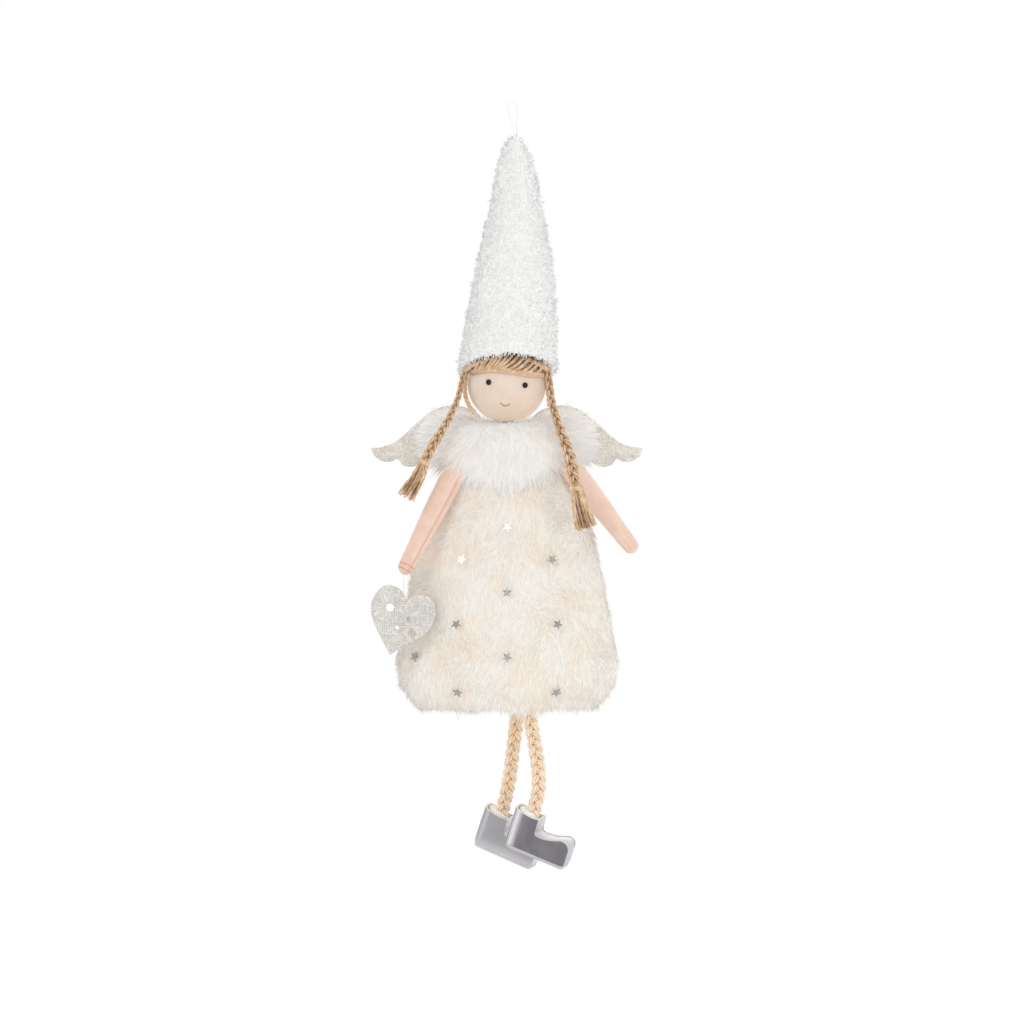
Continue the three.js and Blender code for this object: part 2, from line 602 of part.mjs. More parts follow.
// Stars lie on the curved plush, each facing straight out from its seat
function stars() {
  const group = new THREE.Group();
  let count = 0;
  for (let column = -2; column <= 1; column += 1) {
    const rows = column === -2 ? [STAR_ROWS - 1] : [...Array(STAR_ROWS).keys()];
    for (const row of rows) {
      const share = STAR_FIRST_SHARE + STAR_ROW_SHARE * (row + (column % 2 ? 0.5 : 0));
      const seat = dressSeat(-90 + STAR_COLUMN_STEP * column, dressTopZ - DRESS_LENGTH * share);
      count += 1;
      const name = `star_${String(count).padStart(2, '0')}`;
      const piece = solid(cutOut(starOutline(), STAR_THICKNESS));
      const star = add(group, name, piece, fabric(FOIL_GREY, 0.3, 0.9));
      star.quaternion.setFromUnitVectors(new THREE.Vector3(0, -1, 0), seat.out);
      star.position.copy(seat.point).addScaledVector(seat.out, STAR_THICKNESS / 2 + SEAM_GAP);
    }
  }
  return group;
}

function armFrame(side) {
  const { length, seatAngle, drop, spread, lean } = ARMS[side];
  const seat = dressSeat(seatAngle, dressTopZ - drop);
  const shoulder = seat.point.clone().addScaledVector(seat.out, ARM_RADII[0] + SEAM_GAP);
  const outwards = side === 'left' ? -1 : 1;
  const [across, down] = [outwards * Math.sin(radians(spread)), Math.cos(radians(spread))];
  const way = new THREE.Vector3(across, -Math.tan(radians(lean)), -down).normalize();
  return { shoulder, hand: shoulder.clone().addScaledVector(way, length) };
}

function armShape(side, inset, sides, rings) {
  const { shoulder, hand } = armFrame(side);
  const curve = new THREE.LineCurve3(shoulder, hand);
  return limb(curve, ARM_RADII.map((radius) => radius - inset), sides, rings);
}

// The room that a raised arm needs: a slot as thick as the arm, fanned through its reach
function armRoom(side) {
  const { shoulder } = armFrame(side);
  const { length, spread, lean, reach } = ARMS[side];
  const outwards = side === 'left' ? -1 : 1;
  const ways = reach.map((raise) => radians(-90 + outwards * (spread + raise)));
  const [low, high] = [Math.min(...ways), Math.max(...ways)];
  const half = Math.max(...ARM_RADII) + MOVING_GAP;
  const edge = (way, side90) => [
    shoulder.x + half * Math.cos(way + side90) + length * Math.cos(way),
    shoulder.z + half * Math.sin(way + side90) + length * Math.sin(way),
  ];
  const fan = new THREE.Shape();
  fan.moveTo(...edge(low, -Math.PI / 2));
  fan.lineTo(...edge(high, Math.PI / 2));
  fan.absarc(shoulder.x, shoulder.z, half, high + Math.PI / 2, low + Math.PI * 1.5, false);
  fan.closePath();
  const leanRoom = COLLAR_HALF_WIDTH * Math.tan(radians(lean)) / 2;
  const slot = cutOut(fan, 2 * half + leanRoom, 4);
  return solid(slot.translate(0, shoulder.y - leanRoom / 2, 0));
}

function arm(side) {
  const group = new THREE.Group();
  const { shoulder } = armFrame(side);
  const [radius] = ARM_RADII;
  const mouth = solid(placed(ball(radius / 3, 10, 6), shoulder.x, shoulder.y, shoulder.z + radius));
  const skin = solid(armShape(side, 0, 14, 8)).subtract(solid(armShape(side, SKIN, 8, 4))).subtract(mouth);
  add(group, `${side}_arm`, skin, fabric(ARM_PINK, 0.85));
  add(group, `${side}_arm_filling`, solid(armShape(side, SKIN + 2 * SEAM_GAP, 8, 4)), fabric(FILLING_WHITE));
  return group;
}

// The collar ring: its section follows the angle round the neck, deepest at the front
function collarShape() {
  const ring = new THREE.TorusGeometry(1, 0.5, 10, 28);
  const places = ring.getAttribute('position');
  const topZ = dressTopZ + COLLAR_TOP_RISE;
  for (let i = 0; i < places.count; i += 1) {
    const [x, y, z] = [places.getX(i), places.getY(i), places.getZ(i)];
    const angle = Math.atan2(y, x);
    const outwards = (Math.hypot(x, y) - 0.5);
    const front = Math.max(0, -Math.sin(angle)) ** 1.5;
    const back = Math.max(0, Math.sin(angle)) ** 1.5;
    const height = COLLAR_SIDE_HEIGHT + (COLLAR_FRONT_HEIGHT - COLLAR_SIDE_HEIGHT) * front
      + (COLLAR_BACK_HEIGHT - COLLAR_SIDE_HEIGHT) * back;
    const acrossX = COLLAR_HOLE_RADIUS + (COLLAR_HALF_WIDTH - COLLAR_HOLE_RADIUS) * outwards;
    const acrossY = COLLAR_HOLE_RADIUS + (COLLAR_HALF_DEPTH - COLLAR_HOLE_RADIUS) * outwards;
    const place = [HEAD_X + acrossX * Math.cos(angle), acrossY * Math.sin(angle), topZ - height * (0.5 - z)];
    places.setXYZ(i, ...place);
  }
  return ring;
}

function collar() {
  const group = new THREE.Group();
  const headRoom = solid(placed(ball(HEAD_RADIUS + MOVING_GAP, 20, 12), head.x, head.y, head.z));
  const ring = solid(collarShape()).subtract(headRoom).subtract(solid(dressBody(SEAM_GAP, DRESS_SIDES)));
  const neckRoom = neckRod(SEAM_GAP, dressTopZ - NECK_HEIGHT, neckTopZ + OVERRUN);
  const trimmed = ring.subtract(neckRoom).subtract(armRoom('left')).subtract(armRoom('right'));
  const pieces = trimmed.decompose().sort((a, b) => b.volume() - a.volume());
  add(group, 'fur_collar', pieces[0], fabric(COLLAR_WHITE, 0.95));
  return group;
}

// A wing's outline, mirrored for the left
function wingOutline(top, bottom, outwards) {
  const flip = ([x, z]) => new THREE.Vector2(outwards * x, z);
  const shape = new THREE.Shape();
  const [start, ...upper] = top.map(flip);
  shape.moveTo(start.x, start.y);
  shape.splineThru(upper);
  shape.splineThru(bottom.map(flip));
  shape.closePath();
  return shape;
}

const wingZ = dressTopZ - WING_DROP;
const patchY = COLLAR_HALF_DEPTH + SEAM_GAP + PATCH_THICKNESS / 2;
const wingY = patchY + PATCH_THICKNESS / 2 + SEAM_GAP + WING_THICKNESS / 2;

function wing(side) {
  const group = new THREE.Group();
  const outwards = side === 'left' ? -1 : 1;
  group.position.set(HEAD_X, wingY, wingZ);
  const panel = cutOut(wingOutline(WING_TOP, WING_BOTTOM, outwards), WING_THICKNESS, 3);
  add(group, `${side}_wing`, solid(panel), fabric(GLITTER_SILVER, 0.5, 0.3));
  const pad = cutOut(wingOutline(WING_FUR_TOP, WING_FUR_BOTTOM, outwards), WING_FUR_THICKNESS, 2);
  pad.translate(0, -(WING_THICKNESS + WING_FUR_THICKNESS) / 2 - SEAM_GAP, 0);
  add(group, `${side}_wing_fur`, solid(pad), fabric(COLLAR_WHITE, 0.95));
  return group;
}

function wingPatch() {
  const group = new THREE.Group();
  group.position.set(HEAD_X, patchY, wingZ);
  const patch = new THREE.BoxGeometry(PATCH_WIDTH, PATCH_THICKNESS, PATCH_HEIGHT);
  add(group, 'wing_patch', solid(patch), fabric(LINING_WHITE));
  return group;
}

// The heart's outline with its cleft at the origin: the right half down, then its mirror image back up
function heartOutline() {
  const [half, tall] = [HEART_WIDTH / 2, HEART_HEIGHT];
  const shape = new THREE.Shape();
  shape.moveTo(0, 0);
  HEART_CURVES.forEach(([ax, az, bx, bz, x, z]) => {
    shape.bezierCurveTo(half * ax, tall * az, half * bx, tall * bz, half * x, tall * z);
  });
  const ends = [[0, 0], ...HEART_CURVES.map((curve) => curve.slice(4))];
  for (let k = HEART_CURVES.length - 1; k >= 0; k -= 1) {
    const [ax, az, bx, bz] = HEART_CURVES[k];
    const [x, z] = ends[k];
    shape.bezierCurveTo(-half * bx, tall * bz, -half * ax, tall * az, -half * x, tall * z);
  }
  HEART_HOLES.forEach(([x, z, radius]) => {
    const hole = new THREE.Path();
    hole.absarc(x, z, radius, 0, 2 * Math.PI, false);
    shape.holes.push(hole);
  });
  return shape;
}

function heart() {
  const group = new THREE.Group();
  const { hand } = armFrame('left');
  const handTip = ARM_RADII[ARM_RADII.length - 1] + SEAM_GAP;
  group.position.set(hand.x, hand.y, hand.z - handTip);
  const charm = new THREE.Group();
  charm.position.z = -HEART_THREAD_SHOWN;
  charm.rotation.y = radians(-HEART_TILT);
  group.add(charm);
  const halfThread = HEART_THREAD_SPREAD + HEART_THREAD_DIAMETER / 2;
  const turn = HEART_THREAD_SPREAD;
  const low = -HEART_THREAD_SHOWN - HEART_THREAD_SUNK;
  const bend = [turn * Math.SQRT1_2, 0, low + turn * (1 - Math.SQRT1_2)];
  const heights = [low + turn, -HEART_THREAD_SHOWN, -HEART_THREAD_SHOWN / 2, 0];
  const half = [bend, ...heights.map((height) => [turn, 0, height])];
  const mirrored = half.map(([x, y, z]) => [-x, y, z]).reverse();
  const curve = curveThrough([...mirrored, [0, 0, low], ...half]);
  const steps = Math.round(curve.getLength() / (2 * HEART_THREAD_DIAMETER));
  add(group, 'heart_thread', solid(cord(curve, HEART_THREAD_DIAMETER, 8, steps)), fabric(WHITE_FLEECE, 0.7));
  const slot = block(-halfThread - SEAM_GAP, halfThread + SEAM_GAP, -HEART_CORE, HEART_CORE,
    -HEART_THREAD_SUNK - HEART_THREAD_DIAMETER - SEAM_GAP, HEART_HEIGHT).rotateY(radians(HEART_TILT));
  const core = solid(cutOut(heartOutline(), HEART_CORE)).subtract(solid(slot));
  const whole = core.decompose().sort((a, b) => b.volume() - a.volume())[0];
  add(charm, 'heart_core', whole, fabric(LINING_WHITE));
  const faceY = (HEART_CORE + HEART_FACE) / 2 + HEART_GLUE;
  [['heart_front', -1], ['heart_back', 1]].forEach(([name, way]) => {
    const face = cutOut(heartOutline(), HEART_FACE).translate(0, way * faceY, 0);
    add(charm, name, solid(face), fabric(HEART_SILVER, 0.45, 0.4));
  });
  return group;
}

function legCurve(side) {
  const hip = legHips(side);
  return curveThrough(LEGS[side].route.map(([x, y, z]) => [hip.x + x, hip.y + y, hip.z + z]));
}

function leg(side) {
  const group = new THREE.Group();
  const radius = ROPE_DIAMETER / 2;
  const curve = legCurve(side);
  const rings = Math.round(curve.getLength() / (ROPE_STEP / 2));
  add(group, `${side}_leg_rope`, solid(limb(curve, [radius, radius], 12, rings)), fabric(ROPE_COLOUR));
  return group;
}

// The boot's side outline with its heel at the origin and its sole on the axis
function bootOutline(inset, top) {
  const [back, front] = [inset, BOOT_LENGTH - inset];
  const shaft = BOOT_SHAFT_WIDTH - inset;
  const floor = SOLE_THICKNESS + SEAM_GAP + inset;
  const toe = BOOT_TOE_HEIGHT - inset;
  const instep = BOOT_INSTEP_HEIGHT - inset;
  const shape = new THREE.Shape();
  shape.moveTo(back, floor);
  shape.lineTo(front - TOE_EDGE, floor);
  shape.quadraticCurveTo(front, floor, front, floor + TOE_RISE);
  shape.lineTo(front, toe - TOE_RISE);
  shape.quadraticCurveTo(front, toe, front - TOE_ROUND, toe);
  shape.quadraticCurveTo(shaft + INSTEP_REACH, instep, shaft + INSTEP_BEND, instep);
  shape.quadraticCurveTo(shaft, instep, shaft, instep + INSTEP_BEND);
  shape.lineTo(shaft, top);
  shape.lineTo(back, top);
  shape.closePath();
  return shape;
}

// The boot's outline from above, with round corners at heel and toe
function bootPlan(inset, bottom, top) {
  const half = BOOT_THICKNESS / 2 - inset;
  const corner = BOOT_CORNER - inset;
  const [heel, toe] = [inset + corner, BOOT_LENGTH - inset - corner];
  const shape = new THREE.Shape();
  shape.absarc(toe, corner - half, corner, -Math.PI / 2, 0, false);
  shape.absarc(toe, half - corner, corner, 0, Math.PI / 2, false);
  shape.absarc(heel, half - corner, corner, Math.PI / 2, Math.PI, false);
  shape.absarc(heel, corner - half, corner, Math.PI, Math.PI * 1.5, false);
  shape.closePath();
  const options = { depth: top - bottom, bevelEnabled: false, curveSegments: 4 };
  const plate = new THREE.ExtrudeGeometry(shape, options);
  return solid(plate.translate(0, 0, bottom));
}

function bootBody(inset, top) {
  const side = solid(cutOut(bootOutline(inset, top), 2 * BOOT_THICKNESS, 5));
  return side.intersect(bootPlan(inset, 0, top + OVERRUN));
}

// A boot's own frame: heel at its origin, turned and tipped, with the rope's end on its seat
function bootFrame(side) {
  const turn = new THREE.Euler(radians(BOOT_ROLL), radians(BOOT_PITCH[side]), radians(-BOOT_YAW), 'ZYX');
  const quaternion = new THREE.Quaternion().setFromEuler(turn);
  const seat = new THREE.Vector3(ROPE_SEAT.along, 0, ROPE_SEAT.up).applyQuaternion(quaternion);
  const end = legCurve(side).getPointAt(1);
  return { quaternion, position: end.sub(seat) };
}

function boot(side) {
  const group = new THREE.Group();
  const { quaternion, position } = bootFrame(side);
  group.quaternion.copy(quaternion);
  group.position.copy(position);
  const upper = bootBody(0, BOOT_HEIGHT).subtract(bootBody(BOOT_WALL, BOOT_HEIGHT + OVERRUN));
  add(group, `${side}_boot`, upper, fabric(BOOT_SILVER, 0.35, 0.6));
  add(group, `${side}_boot_sole`, bootPlan(SEAM_GAP, 0, SOLE_THICKNESS), fabric(BOOT_SILVER, 0.5, 0.4));
  const radius = ROPE_DIAMETER / 2;
  const fillTop = ROPE_SEAT.up + ROPE_GRIP;
  const clip = solid(block(-FAR, FAR, -FAR, FAR, -FAR, fillTop));
  const ropeRoom = solid(placed(ball(radius + SEAM_GAP, 16, 10), ROPE_SEAT.along, 0, ROPE_SEAT.up));
  const neck = turned([[0, ROPE_SEAT.up], [radius + MOVING_GAP, ROPE_SEAT.up],
    [radius + 3 * MOVING_GAP, BOOT_HEIGHT], [0, BOOT_HEIGHT]], 14).translate(ROPE_SEAT.along, 0, 0);
  const filling = bootBody(BOOT_WALL + SEAM_GAP, BOOT_HEIGHT).intersect(clip);
  add(group, `${side}_boot_filling`, filling.subtract(ropeRoom).subtract(solid(neck)), fabric(FILLING_WHITE));
  return group;
}

doll.add(hangingLoop(), hat(), headPieces(), hair(), braid('left'), braid('right'));
doll.add(dress(), stars(), collar(), arm('left'), arm('right'), heart());
doll.add(wingPatch(), wing('left'), wing('right'));
['left', 'right'].forEach((side) => doll.add(leg(side), boot(side)));

export default doll;
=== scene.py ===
import math

import bmesh
import bpy
import numpy as np
from mathutils import Matrix, Vector, noise
from mathutils.kdtree import KDTree


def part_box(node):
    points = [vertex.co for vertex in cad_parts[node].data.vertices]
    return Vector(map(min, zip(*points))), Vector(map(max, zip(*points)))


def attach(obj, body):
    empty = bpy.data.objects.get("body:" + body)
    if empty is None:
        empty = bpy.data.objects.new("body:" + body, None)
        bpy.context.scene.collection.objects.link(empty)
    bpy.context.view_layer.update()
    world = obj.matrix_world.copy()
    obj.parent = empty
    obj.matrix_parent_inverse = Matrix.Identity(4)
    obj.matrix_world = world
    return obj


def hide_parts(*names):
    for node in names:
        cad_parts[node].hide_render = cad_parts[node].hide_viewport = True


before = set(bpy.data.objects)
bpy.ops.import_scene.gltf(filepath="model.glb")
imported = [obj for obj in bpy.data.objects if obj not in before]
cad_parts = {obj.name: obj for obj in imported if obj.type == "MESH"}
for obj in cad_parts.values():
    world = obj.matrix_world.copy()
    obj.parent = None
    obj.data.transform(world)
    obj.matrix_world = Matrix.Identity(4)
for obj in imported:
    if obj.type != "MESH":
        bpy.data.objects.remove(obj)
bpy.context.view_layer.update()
# Without a seed the noise would differ from run to run
noise.seed_set(3)

# The doll's sizes in millimetres, from its hanging loop down to its boots
MM = 0.001
HEAD = np.array((-2.0, 0.0, -112.8))
HEAD_RADIUS = 15.9
FACE_TILT = math.radians(-4.8)
EYE_RADIUS, EYE_ACROSS, EYE_UP = 1.15, 7.2, -0.6
MOUTH_HALF_WIDTH, MOUTH_UP, MOUTH_BOW = 2.0, -8.8, 1.1
FRINGE_EDGE_X = [-16, -14.8, -4.8, 5.2, 13.2, 16]
FRINGE_EDGE_Z = [2.4, 3.0, 4.3, 2.6, 2.0, 1.8]
LOOP_ROUTE = [
    (4.4, -12.1, -41.4), (3.9, -11.7, -37.5), (3.2, -11.0, -31.6), (2.3, -9.7, -23.6), (1.6, -7.4, -18),
    (0.9, -4.6, -13.2), (0.2, -2.9, -10), (-0.8, -1.6, -6.5), (-1.5, -0.7, -3.4), (-1.6, -0.2, -1.5),
    (-1.0, 0, -0.2), (0, 0, 0.3), (1.0, 0, -0.2), (1.7, -0.2, -1.5), (1.9, -0.7, -3.4), (1.9, -1.6, -6.5),
    (1.8, -2.9, -10), (2.2, -4.6, -13.2), (2.8, -7.4, -18), (3.5, -9.7, -23.6), (4.4, -11.0, -31.6),
    (5.1, -11.7, -37.5), (5.3, -12.1, -41.4),
]
KNOT = np.array((4.85, -12.1, -42.6))
HAT_TIP = (1.2, -12.0)
HAT_HEIGHT = 96.4
HAT_RIM_RADIUS = 20.6
HAT_BOW = 1.6
HAT_RIM_TILT = math.radians(20)
HAT_RIM_Z = HAT_TIP[1] - HAT_HEIGHT
HAT_SHAPE = [(0.012, 0.1), (0.05, 0.22), (0.12, 0.39), (0.2, 0.455), (0.29, 0.5), (0.37, 0.6), (0.46, 0.7),
             (0.58, 0.79), (0.7, 0.87), (0.86, 0.94), (1, 1), (1.12, 1.01)]
BRAIDS = {
    "left": {
        "route": [(-17.2, -6.2, 4.6), (-18.2, -8.8, -1), (-20, -12.6, -7.6), (-22.8, -17, -14),
                  (-26.4, -20.8, -20.4), (-29.6, -23, -25.6), (-32, -24.4, -30.4)],
        "radii": [1.2, 1.25, 1.3, 1.45, 1.7, 2.1, 2.1],
        "tail": [(-33.4, -25, -33.4), (-35.4, -25.8, -38), (-38, -26.4, -42.8)],
        "gather": 1.3, "flare": 3.6, "yarns": 28, "reach": 4.2, "pitch": 11.0,
    },
    "right": {
        "route": [(16.4, -6.4, 4.6), (17, -9, -1), (17.8, -12.8, -7.6), (19.4, -17, -14), (21.8, -21, -20.8),
                  (24.2, -23.4, -27.6), (25.9, -24.6, -34.8), (26.8, -24.8, -40.4)],
        "radii": [1.4, 1.5, 1.6, 1.75, 2, 2.3, 2.7, 2.3],
        "tail": [(27.6, -24.9, -43.6), (28.8, -25, -49), (30.6, -25, -56)],
        "gather": 2.0, "flare": 4.1, "yarns": 38, "reach": 2.4, "pitch": 13.0,
    },
}
NECK_SHAPE = [(0, -129.2), (4.6, -129.2), (5.0, -131), (5.0, -139), (4.6, -140.8), (0, -140.8)]
COLLAR_TOP = -129.4
DRESS_TOP = -135.0
DRESS_LENGTH = 104.4
DRESS_HALF_WIDTH = 44.0
DRESS_DEPTH = 0.6
DRESS_SHAPE = [(0, 0.16), (0.02, 0.29), (0.06, 0.4), (0.115, 0.5), (0.17, 0.585), (0.23, 0.66), (0.33, 0.75),
               (0.46, 0.835), (0.61, 0.9), (0.77, 0.965), (0.86, 1), (0.93, 0.97), (0.975, 0.89), (1, 0.78)]
HEM_START = -226.0
STAR_RADIUS, STAR_NOTCH, STAR_THICKNESS = 2.2, 0.43, 0.3
# The flatter stars that lie towards a lamp, and how each faces
STAR_GLINTS = {1: (-0.293, -0.934, 0.203), 4: (0.395, -0.911, 0.115)}
ARM_RADII = [4.4, 4.7, 4.6, 4.2, 3.6, 2.9]
ARMS = {
    "left": ((-19.988, -11.526, -143.052), (-42.105, -22.774, -186.46)),
    "right": ((18.004, -6.83, -139.774), (47.356, -11.048, -178.026)),
}
# Where an arm's seam runs and its hand's stitches start, in degrees round the arm
ARM_SEAMS = {"left": -128, "right": 70}
HAND_STITCHES = {"left": -172, "right": 8}
HEART_HALF_WIDTH, HEART_TALL = 13.0, 25.0
HEART_DROP, HEART_TURN = 13.9, math.radians(17)
HEART_THREAD, HEART_THREAD_LOW, HEART_THREAD_HALF = 0.5, -17.2, 0.8
HEART_CURVES = [(0.1, 0.18, 0.42, 0.21, 0.6, 0.2), (0.9, 0.17, 1.08, -0.06, 0.95, -0.27),
                (0.8, -0.48, 0.3, -0.68, 0, -0.86)]
HEART_HOLES = [(-5.4, -3.6, 1.7), (5.9, -10.8, 1.4), (3.2, -6.0, 0.9), (-0.4, -10.4, 0.9)]
WING_MIDDLE = (-2.0, 25.3, -135.2)
WING_PATCH, WING_PATCH_SIZE = (-2.0, 23.3, -135.2), (11, 2, 17)
WING_TOP = [(6, 4), (13, 11.5), (22, 14), (29, 12.2), (36.5, 6.6), (44.8, -0.6), (50, -2.8), (55, -3.4)]
WING_BOTTOM = [(53.6, -6.6), (50.4, -8.6), (46.8, -8.8), (44.4, -7.6), (42.4, -10), (38.4, -10.9),
               (34.6, -9.4), (32.6, -7.2), (29, -9.2), (22, -9.6), (14, -7.6), (6, -6)]
WING_FUR_TOP = [(8, 3.4), (14, 8.0), (21, 9.6), (27, 8.6), (32, 5.0)]
WING_FUR_BOTTOM = [(33.6, 0), (32, -5.6), (28, -8), (21, -8.6), (14, -6.8), (8, -4.6)]
LEGS = {
    "left": ((2.0, 4.3, -242.3), [(0, 0, 0), (-0.3, 0.2, -7), (-1.6, 0.6, -17.5), (-3.1, 1.2, -29.7),
                                  (-5.8, 2.2, -41.6), (-8, 4.2, -48.7)]),
    "right": ((6.8, -4.3, -242.3), [(0, 0, 0), (0.9, -0.8, -7), (2.5, -2.2, -16), (3.8, -3.9, -26),
                                    (3.6, -5.4, -34), (1.8, -6.3, -41), (-0.4, -4.2, -48)]),
}
ROPE = 5.2
BOOTS = {"left": ((-14.79, 13.072, -297.036), 22), "right": ((-2.288, -3.961, -296.505), 21)}
BOOT_TURN, BOOT_ROLL = math.radians(-18), math.radians(10)
BOOT_LENGTH, BOOT_SHAFT, BOOT_HEIGHT, BOOT_FLOOR = 26.5, 11.4, 17.0, 1.3
BOOT_TOE, BOOT_INSTEP, BOOT_THICKNESS, BOOT_CORNER = 11.2, 9.0, 9.4, 3.4
BOOT_CUTS_ALONG = (0.25, 0.8, 1.5, 2.2, 2.9, 3.8, 5, 6.5, 8, 9.4, 10.6, 13, 16, 19, 22, 24, 25.2, 25.7, 26.1,
                   26.4)
BOOT_CUTS_UP = (3.0, 5.0, 7.0, 9.5, 12, 14.3)
# How far the cloth under the pile lies inside the solid
HAT_INSET, DRESS_INSET = 1.9, 1.7
# How many locks and flakes there are on each piece, and the length the collar's fur starts from
HAT_CURLS, PLUSH_LOCKS, HEM_LOCKS, WING_LOCKS = 18500, 19000, 5200, 5600
COLLAR_LOCKS = {"long": (12000, 8.5), "soft": (9000, 6.0)}
WING_FLAKES, HEART_FLAKES = 7600, 3000


def linear(code):
    """A colour written as red, green and blue pairs, as light."""
    parts = [int(code[i:i + 2], 16) / 255 for i in (1, 3, 5)]
    return (*[p / 12.92 if p <= 0.04045 else ((p + 0.055) / 1.055) ** 2.4 for p in parts], 1.0)


def spot(point):
    return Vector([float(x) * MM for x in point])


def share_of(value):
    return min(1.0, max(0.0, value))


def bell(value, middle, width):
    return math.exp(-((value - middle) / width) ** 2)


# Finishes


def node(tree, kind, links=None, **values):
    """A new node: links joins sockets, values set sockets or the node's own settings."""
    made_node = tree.nodes.new(kind)
    for key, value in values.items():
        if key in made_node.inputs:
            made_node.inputs[key].default_value = value
        else:
            setattr(made_node, key, value)
    for key, source in (links or {}).items():
        tree.links.new(source, made_node.inputs[key])
    return made_node


def mixed(tree, factor, first, second, blend="MIX"):
    """Two colours mixed. Each may be a socket or a colour, and the factor a socket or a number."""
    mix = tree.nodes.new("ShaderNodeMix")
    mix.data_type = "RGBA"
    mix.blend_type = blend
    for slot, value in ((0, factor), (6, first), (7, second)):
        if isinstance(value, bpy.types.NodeSocket):
            tree.links.new(value, mix.inputs[slot])
        else:
            mix.inputs[slot].default_value = value
    return mix.outputs[2]


def maths(tree, operation, first, second):
    return node(tree, "ShaderNodeMath", {0: first, 1: second}, operation=operation).outputs[0]


def attribute(tree, name):
    return node(tree, "ShaderNodeAttribute", attribute_name=name).outputs["Fac"]


def object_place(tree):
    return node(tree, "ShaderNodeTexCoord").outputs["Object"]


def stretched(tree, socket, low, high, to_low=0.0, to_high=1.0):
    span = node(tree, "ShaderNodeMapRange", {"Value": socket})
    for key, value in (("From Min", low), ("From Max", high), ("To Min", to_low), ("To Max", to_high)):
        span.inputs[key].default_value = value
    return span.outputs[0]


def new_group(name, inputs, outputs):
    group = bpy.data.node_groups.new(name, "ShaderNodeTree")
    for label, kind, value in inputs:
        socket = group.interface.new_socket(label, in_out="INPUT", socket_type=kind)
        socket.default_value = value
    for label, kind in outputs:
        group.interface.new_socket(label, in_out="OUTPUT", socket_type=kind)
    start = group.nodes.new("NodeGroupInput")
    end = group.nodes.new("NodeGroupOutput")
    return group, start.outputs, end.inputs


def pile_group():
    """Colour of fur and fleece: root to tip, the darker root colour being painted shade deep in the pile, a
    tone for each lock and soft patches.
    """
    white = (1, 1, 1, 1)
    tree, given, result = new_group(
        "pile_colour",
        [("Root", "NodeSocketColor", white), ("Tip", "NodeSocketColor", white),
         ("Patch", "NodeSocketColor", white), ("Patch Scale", "NodeSocketFloat", 80.0),
         ("Patch Amount", "NodeSocketFloat", 0.5)],
        [("Colour", "NodeSocketColor")])
    along = attribute(tree, "tip")
    lock = attribute(tree, "tone")
    place = object_place(tree)
    cloud = node(tree, "ShaderNodeTexNoise", {"Vector": place, "Scale": given["Patch Scale"]}, Detail=2.0)
    patch = stretched(tree, cloud.outputs[0], 0.42, 0.66)
    amount = maths(tree, "MULTIPLY", patch, given["Patch Amount"])
    rise = stretched(tree, along, 0.0, 0.6)
    body = mixed(tree, rise, given["Root"], given["Tip"])
    patched = mixed(tree, amount, body, given["Patch"])
    shade = stretched(tree, lock, 0.0, 1.0, 0.9, 1.04)
    tree.links.new(mixed(tree, 1.0, patched, shade, "MULTIPLY"), result["Colour"])
    return tree


def knit_group():
    """A fine knit on object coordinates: a height and a shade."""
    tree, given, result = new_group(
        "knit", [("Scale", "NodeSocketFloat", 900.0)],
        [("Height", "NodeSocketFloat"), ("Shade", "NodeSocketFloat")])
    place = object_place(tree)
    rib = node(tree, "ShaderNodeTexWave", {"Vector": place, "Scale": given["Scale"]}, bands_direction="X",
               Distortion=1.5)
    course = node(tree, "ShaderNodeTexWave", {"Vector": place, "Scale": given["Scale"]}, bands_direction="Z",
                  Distortion=2.5)
    weave = maths(tree, "MULTIPLY", rib.outputs[1], course.outputs[1])
    soft = node(tree, "ShaderNodeTexNoise", {"Vector": place}, Scale=220.0, Detail=3.0)
    tree.links.new(weave, result["Height"])
    tree.links.new(soft.outputs[0], result["Shade"])
    return tree


def fibre_group():
    """Spun fibre: a fine fuzz height and an uneven tone."""
    tree, given, result = new_group(
        "spun_fibre", [("Fuzz Scale", "NodeSocketFloat", 2600.0), ("Tone Scale", "NodeSocketFloat", 300.0)],
        [("Height", "NodeSocketFloat"), ("Tone", "NodeSocketFloat")])
    place = object_place(tree)
    fuzz = node(tree, "ShaderNodeTexNoise", {"Vector": place, "Scale": given["Fuzz Scale"]}, Detail=2.0)
    dye = node(tree, "ShaderNodeTexNoise", {"Vector": place, "Scale": given["Tone Scale"]}, Detail=3.0)
    tree.links.new(fuzz.outputs[0], result["Height"])
    tree.links.new(dye.outputs[0], result["Tone"])
    return tree


def glitter_group():
    """Glitter on woven cloth: a value and a height for each grain, a wider sheen and the weave's lines."""
    tree, given, result = new_group(
        "glitter", [("Grain Scale", "NodeSocketFloat", 2200.0)],
        [("Grain", "NodeSocketFloat"), ("Height", "NodeSocketFloat"), ("Cloud", "NodeSocketFloat"),
         ("Weave", "NodeSocketFloat")])
    place = object_place(tree)
    cells = node(tree, "ShaderNodeTexVoronoi", {"Vector": place, "Scale": given["Grain Scale"]})
    split = node(tree, "ShaderNodeSeparateColor", {"Color": cells.outputs["Color"]})
    cloud = node(tree, "ShaderNodeTexNoise", {"Vector": place}, Scale=160.0, Detail=3.0)
    tree.links.new(split.outputs[0], result["Grain"])
    tree.links.new(split.outputs[1], result["Height"])
    tree.links.new(cloud.outputs[0], result["Cloud"])
    warp, weft = (node(tree, "ShaderNodeTexWave", {"Vector": place}, bands_direction=way, Scale=330.0,
                       Distortion=0.6).outputs[1] for way in "XZ")
    tree.links.new(maths(tree, "MULTIPLY", warp, weft), result["Weave"])
    return tree


PILE, KNIT, FIBRE, GLITTER = pile_group(), knit_group(), fibre_group(), glitter_group()


